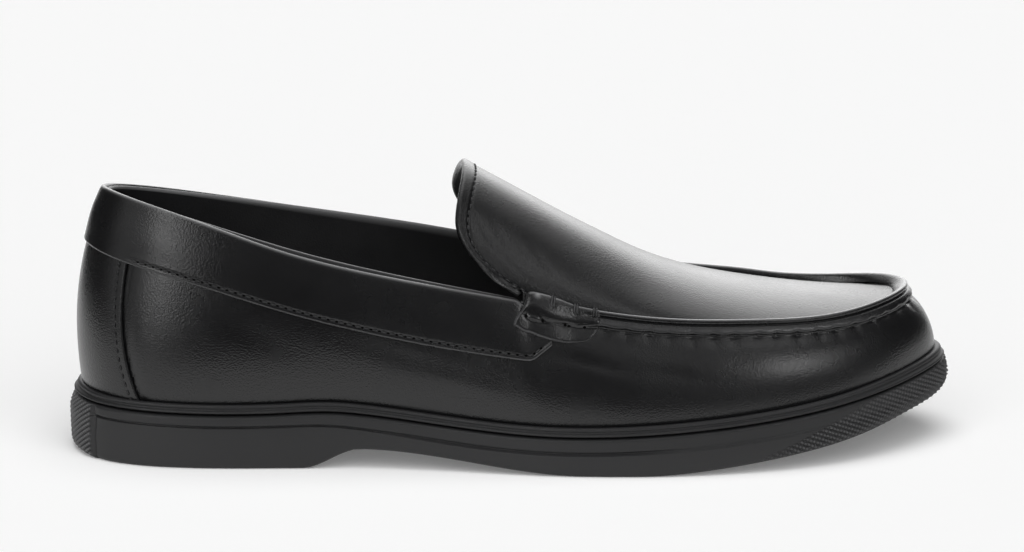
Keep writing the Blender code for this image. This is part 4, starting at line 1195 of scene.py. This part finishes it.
def from_heel(u):
    """Length along the sole's edge from the back of the heel, the same way on both sides."""
    return np.minimum(u, 1.0 - u) * GIRTH


def along_sole(u):
    """Length along the sole's edge from the toe's tip, the same way on both sides."""
    return np.abs(u - PLACE["toe tip"]) * GIRTH


def toe_end(u):
    """1 at the front of the toe."""
    return smooth(TOE_END_FADE, TOE_END, section(u)[:, 0])


def rounded_ends(u):
    """1 at the back of the heel and the front of the toe, where the sole's edges are well rounded."""
    return np.maximum(1.0 - smooth(HEEL_END, HEEL_END_FADE, from_heel(u)), toe_end(u))


def tread_radius(u):
    return EDGE_RADIUS + (END_RADIUS_MORE + TOE_RADIUS_MORE * toe_end(u)) * rounded_ends(u)


def past_bumper(u):
    return smooth(BUMPER_REACH + BUMPER_STEP, BUMPER_REACH + BUMPER_STEP_END, from_heel(u))


def heel_recess(u):
    """Inset of the heel's side, from the bumper to the breast."""
    return HEEL_RECESS * past_bumper(u) * (1.0 - smooth(RECESS_END, FRONT_FULL, section(u)[:, 0]))


def tread_inset(u):
    """Inset of the tread's edge on the underside."""
    return heel_recess(u) + TREAD_UNDER + tread_radius(u)


def make_outsole(rubber):
    """Rubber unit: tread edge, knurled bumper and toe, recessed heel side, band and groove."""
    u = sole_columns()
    t = section(u)[:, 0:1]
    run = from_heel(u)[:, None]
    toe = smooth(TOE_FROM, TOE_FULL, t)
    low = underside(t)
    high = bed(t) - (WELT_RISE + GAP)
    band_height = SOLE_BAND_HEEL + (SOLE_BAND_FRONT - SOLE_BAND_HEEL) * smooth(BAND_GROWS, BAND_GROWN, t)
    step = high - band_height
    flush = 1.0 - smooth(BAND_FLUSH_FROM, BAND_FLUSH, t)
    band = BAND_INSET + BAND_INSET_FRONT * smooth(RECESS_END, FRONT_FULL, t) * flush
    side = heel_recess(u)[:, None]
    notch = NOTCH_DEPTH * past_bumper(u)[:, None] * (1.0 - smooth(NOTCH_FADE, TOE_FROM, t))

    radius = tread_radius(u)[:, None]
    turn = np.radians(np.linspace(0.0, 84.0, 13))
    z_edge = low + radius * (1.0 - np.cos(turn))
    in_edge = side + SIDE_DRAFT + radius * (1.0 - np.sin(turn))
    share = np.linspace(0.0, 1.0, 46)
    z_side = low + radius + (step - 0.5 - low - radius) * share
    in_side = side + SIDE_DRAFT * (1.0 - share) ** 2
    z_step = step + np.array(STEP_HEIGHTS)
    in_step = [side + 0.05, side + 0.22, side + notch, band + 0.85 * notch, band + 0.25 * notch, band + 0.05]
    z_band = step + STEP_HEIGHTS[-1] + (band_height - 1.9) * np.linspace(0.0, 1.0, 10)[1:]
    lip_in, lip_up = np.array(LIP_PATH).T
    z = np.hstack([z_edge, z_side, z_step, z_band, high + lip_up])
    inset = np.hstack([in_edge, in_side, *in_step, np.tile(band, (1, 9)), band + lip_in])
    lean = (END_LEAN - TOE_LEAN_LESS * toe) * rounded_ends(u)[:, None]
    inset = inset + lean * smooth(high - END_LEAN_DEPTH, high, z) ** 2

    above = z - low
    knurl_top = high - 0.35
    edges = smooth(0.5, 1.1, above) * (1.0 - smooth(knurl_top - 0.5, knurl_top, z))
    heel_face = (1.0 - smooth(BUMPER_REACH - 1.0, BUMPER_REACH - 0.2, run)) * edges
    toe_reach = np.interp(t, *np.array(TOE_KNURL_TOP).T)
    toe_face = toe * edges * (1.0 - smooth(toe_reach - 1.2, toe_reach + 0.2, above))
    carved = heel_face * knurl(run, z, *HEEL_KNURL) + toe_face * knurl(along_sole(u)[:, None], z, *TOE_KNURL)
    gutter_width = GUTTER_WIDTH + GUTTER_WIDER * smooth(9.0, 15.0, above)
    gutter = bump(run, BUMPER_REACH + GUTTER_AT, gutter_width, GUTTER_DEPTH) * edges
    inset = inset + KNURL_HEIGHT * (KNURL_SUNK * np.maximum(heel_face, toe_face) - carved) + gutter
    # Painted highlight on the tops of the knurled ribs, strongest where a rib stands out most
    painted_highlight = (HEEL_RIB_HIGHLIGHT * heel_face + TOE_RIB_HIGHLIGHT * toe_face) * carved**2
    bm = bmesh.new()
    lay_grid(bm, at_height(outline(u[:, None], inset), z), closed=True, painted_highlight=painted_highlight)

    u_out = 0.25 - 0.25 * np.cos(np.linspace(0.0, np.pi, 111))
    share = np.linspace(0.0, 1.0, 57)
    tread, _ = filled_plan(u_out, tread_inset, share)
    lay_grid(bm, at_height(tread, underside(tread[..., 0]))[:, ::-1])
    seat, _ = filled_plan(u_out, lambda u: SEAT_INSET, share[::14])
    lay_grid(bm, at_height(seat, bed(seat[..., 0]) - (WELT_RISE + GAP) - SEAT_LOW))
    piece("moulded_outsole", bm, rubber, "rubber", "outsole")


# Section of the welt, with a lip, a hollow face and a bead: inset from the sole's edge, height over the bed
WELT_PATH = (
    (3.40, -3.32), (2.20, -3.30), (1.50, -3.16), (1.08, -2.88), (0.95, -2.55), (1.08, -2.25),
    (1.42, -2.02), (1.72, -1.80), (1.80, -1.50), (1.58, -1.22), (1.32, -0.92), (1.34, -0.52),
    (1.58, -0.18), (1.98, 0.02), (2.42, 0.00), (2.85, -0.24), (3.20, -0.62),
)
WELT_WIDENS_FROM, WELT_WIDENS_OVER = 2.0, 1.15
WELT_TUCK, WELT_TUCK_DROP = 0.4, 1.2


def make_welt(rubber):
    """Moulded welt round the foot of the upper, with a bead along its top, ending inside the upper."""
    u = spaced(0.0, 1.0, 1.6 / GIRTH)
    inset, z = np.array(WELT_PATH).T
    widened = np.clip((inset - WELT_WIDENS_FROM) / WELT_WIDENS_OVER, 0.0, 1.0)
    leaning = END_LEAN * rounded_ends(u)[:, None] * np.clip((z + WELT_RISE) / WELT_RISE, 0.0, 1.0)
    inset = inset + (feather_inset(u) - FEATHER_INSET_HEEL)[:, None] * widened + leaning
    height = bed(section(u)[:, 0])
    face = at_height(outline(u[:, None], inset), height[:, None] + z)
    ending = at_height(outline(u, feather_inset(u) + WELT_TUCK), height - WELT_TUCK_DROP)
    bm = bmesh.new()
    lay_grid(bm, np.concatenate([face, ending[:, None]], 1), closed=True)
    piece("beaded_welt", bm, rubber, "rubber", "welt")


# Camera: angles in degrees, and the photo's scale at the target in pixels a millimetre
CAMERA_AZIMUTH, CAMERA_ELEVATION, CAMERA_ROLL = -3.0, 13.0, 0.185
CAMERA_TARGET, CAMERA_DISTANCE = (150.85, 0.0, 56.97), 1250.0
PIXELS_PER_MM, IMAGE_WIDTH, SENSOR_WIDTH = 2.927, 1024.0, 36.0


def make_camera():
    """Long lens, a little above the sole and a little from behind, as in the photo."""
    azimuth, elevation, roll = (math.radians(a) for a in (CAMERA_AZIMUTH, CAMERA_ELEVATION, CAMERA_ROLL))
    right = Vector((math.cos(azimuth), math.sin(azimuth), 0.0))
    level = math.cos(elevation)
    back = Vector((math.sin(azimuth) * level, -math.cos(azimuth) * level, math.sin(elevation)))
    up = back.cross(right)
    turned_right = right * math.cos(roll) + up * math.sin(roll)
    turned_up = up * math.cos(roll) - right * math.sin(roll)
    data = bpy.data.cameras.new("camera")
    data.sensor_fit = "HORIZONTAL"
    data.sensor_width = SENSOR_WIDTH
    data.lens = PIXELS_PER_MM * CAMERA_DISTANCE / IMAGE_WIDTH * SENSOR_WIDTH
    data.clip_end = 50.0
    camera = bpy.data.objects.new("camera", data)
    axes = Matrix((turned_right, turned_up, back)).transposed().to_4x4()
    place = Vector(placed(CAMERA_TARGET)) + back * (CAMERA_DISTANCE * MM)
    camera.matrix_world = Matrix.Translation(place) @ axes
    bpy.context.scene.collection.objects.link(camera)
    bpy.context.scene.camera = camera


# Table, in metres: its size, and its left and front edges, which are close to the shoe
TABLE_SIZE, TABLE_LEFT, TABLE_EDGE = 6.0, -0.42, -0.16
TABLE_WHITE, TABLE_GLOW = "#f2f2f2", 0.14


def make_table():
    """Back lit white acrylic table. It ends close to the shoe, whose lower side so mirrors the dim room."""
    bm = bmesh.new()
    corners = bmesh.ops.create_grid(bm, x_segments=1, y_segments=1, size=TABLE_SIZE)["verts"]
    for corner in corners:
        corner.co.x = max(corner.co.x, TABLE_LEFT)
        corner.co.y = max(corner.co.y, TABLE_EDGE)
    mesh = bpy.data.meshes.new("floor")
    bm.to_mesh(mesh)
    bm.free()
    floor = bpy.data.objects.new("floor", mesh)
    bpy.context.scene.collection.objects.link(floor)
    acrylic, tree, shader, place = new_finish("back lit white acrylic table")
    frosting = add(tree, "TexNoise", {"Vector": place, "Scale": per_mm(2.5)})
    frosted = add(tree, "Bump", {"Height": frosting.outputs["Fac"], "Strength": 0.02, "Distance": 0.2 * MM})
    look = {"Base Color": linear(TABLE_WHITE), "Roughness": 1.0, "Specular IOR Level": 0.0}
    glow = {"Emission Color": linear("#ffffff"), "Emission Strength": TABLE_GLOW}
    feed(tree, shader, {**look, **glow, "Normal": frosted.outputs["Normal"]})
    mesh.materials.append(acrylic)


# Light panels that the shoe mirrors: angle from straight behind the shoe towards its toe, then height, each
# as middle, half width and softness in degrees, then radiance. ROOM_LIGHT is the room between them.
LIGHT_PANELS = {
    "wall behind": ((8.0, 26.0, 14.0), (24.0, 22.0, 16.0), 3.15),
    "sloping ceiling behind": ((0.0, 60.0, 20.0), (62.0, 18.0, 12.0), 1.4),
    "ceiling": ((0.0, 400.0, 10.0), (90.0, 16.0, 10.0), 0.5),
    "strip, front left": ((-146.0, 5.0, 4.0), (30.0, 30.0, 11.0), 6.2),
    "dim panel, left": ((-116.0, 20.0, 12.0), (20.0, 26.0, 12.0), 0.55),
    "dim panel, front right": ((140.0, 30.0, 16.0), (30.0, 34.0, 16.0), 0.25),
    "window, front right": ((134.0, 7.0, 5.0), (30.0, 7.0, 5.0), 7.0),
    "bar, front": ((-165.0, 30.0, 20.0), (48.0, 6.0, 5.0), 0.8),
    "bar, right": ((118.0, 22.0, 14.0), (61.0, 6.0, 5.0), 1.6),
}
ROOM_LIGHT, ROOM_WHITE = 0.044, "#f8f8f8"

# Diffusers that light the table: tilt from straight above towards the camera, angle across, power
DIFFUSERS = {
    "overhead diffuser": (0.0, 50.0, 1.32),
    "front diffuser": (50.0, 90.0, 2.34),
}


def make_light():
    """Light panels in a dim room, which only gloss shows, and two diffusers, which gloss doesn't show."""
    world = bpy.data.worlds.new("studio")
    world.use_nodes = True
    tree = world.node_tree
    direction = add(tree, "SeparateXYZ", {"Vector": add(tree, "TexCoord").outputs["Generated"]})
    turn = add(tree, "Math", {0: direction.outputs["X"], 1: direction.outputs["Y"]}, operation="ARCTAN2")
    height = add(tree, "Math", {0: direction.outputs["Z"]}, operation="ARCSINE")
    room = ROOM_LIGHT
    for *spans, radiance in LIGHT_PANELS.values():
        shares = []
        for angle, (middle, half, soft) in zip((turn, height), spans):
            turned = {0: angle.outputs["Value"], 1: math.radians(middle)}
            off = add(tree, "Math", turned, operation="SUBTRACT")
            wrapped = add(tree, "Math", {0: off.outputs["Value"], 1: math.pi, 2: -math.pi}, operation="WRAP")
            away = add(tree, "Math", {0: wrapped.outputs["Value"]}, operation="ABSOLUTE")
            edge = {"Value": away.outputs["Value"], "To Min": 1.0, "To Max": 0.0}
            edge.update({"From Min": math.radians(half - soft), "From Max": math.radians(half + soft)})
            shares.append(add(tree, "MapRange", edge, interpolation_type="SMOOTHSTEP").outputs["Result"])
        lit = add(tree, "Math", {0: shares[0], 1: shares[1]}, operation="MULTIPLY")
        summed = {0: lit.outputs["Value"], 1: radiance, 2: room}
        room = add(tree, "Math", summed, operation="MULTIPLY_ADD").outputs["Value"]
    seen = add(tree, "LightPath").outputs["Is Camera Ray"]
    strength = add(tree, "Mix", {"Factor": seen, "A": room, "B": 1.0}, data_type="FLOAT")
    backdrop = {"Color": linear(ROOM_WHITE), "Strength": strength.outputs["Result"]}
    feed(tree, tree.nodes["Background"], backdrop)
    bpy.context.scene.world = world
    world.cycles_visibility.diffuse = False

    for name, (tilt, angle, power) in DIFFUSERS.items():
        light = bpy.data.lights.new(name, "SUN")
        light.energy = power
        light.angle = math.radians(angle)
        lamp = bpy.data.objects.new(name, light)
        lamp.rotation_euler = (math.radians(tilt), 0.0, 0.0)
        lamp.visible_glossy = False
        bpy.context.scene.collection.objects.link(lamp)


calf = smooth_calf("polished black calf", "#0d0d0e", "#111112", 0.23, 0.3, 0.26)
soft_calf = smooth_calf("black calf lining", "#161617", "#1c1c1d", 0.55, 0.68, 0.2)
sock = smooth_calf("black sock leather", "#18181a", "#202022", 0.6, 0.72, 0.25)
rubber = moulded_rubber("matt black moulded rubber", "#181819", "#1e1e1f")
thread = bonded_thread("waxed black thread", "#161617", "#2a2a2b")
whipping = bonded_thread("thick waxed black thread", "#202021", "#3c3c3d")
# Painted shade of the needle holes
hole = hole_shade_finish("needle hole painted shade", "#040404")

make_camera()
make_vamp_and_quarters(calf)
make_apron(calf, thread)
make_collar_band(calf, thread, hole)
make_heel_counter(calf, thread)
make_saddle_tab("whipped_tab_outer", "saddle_tab_outer", SADDLE_OUT, 1.0, calf, whipping, hole)
make_saddle_tab("whipped_tab_inner", "saddle_tab_inner", SADDLE_IN, -1.0, calf, whipping, hole)
make_lining(soft_calf)
make_insole(sock)
make_outsole(rubber)
make_welt(rubber)
make_table()
make_light()

bpy.context.scene.view_settings.view_transform = "Standard"
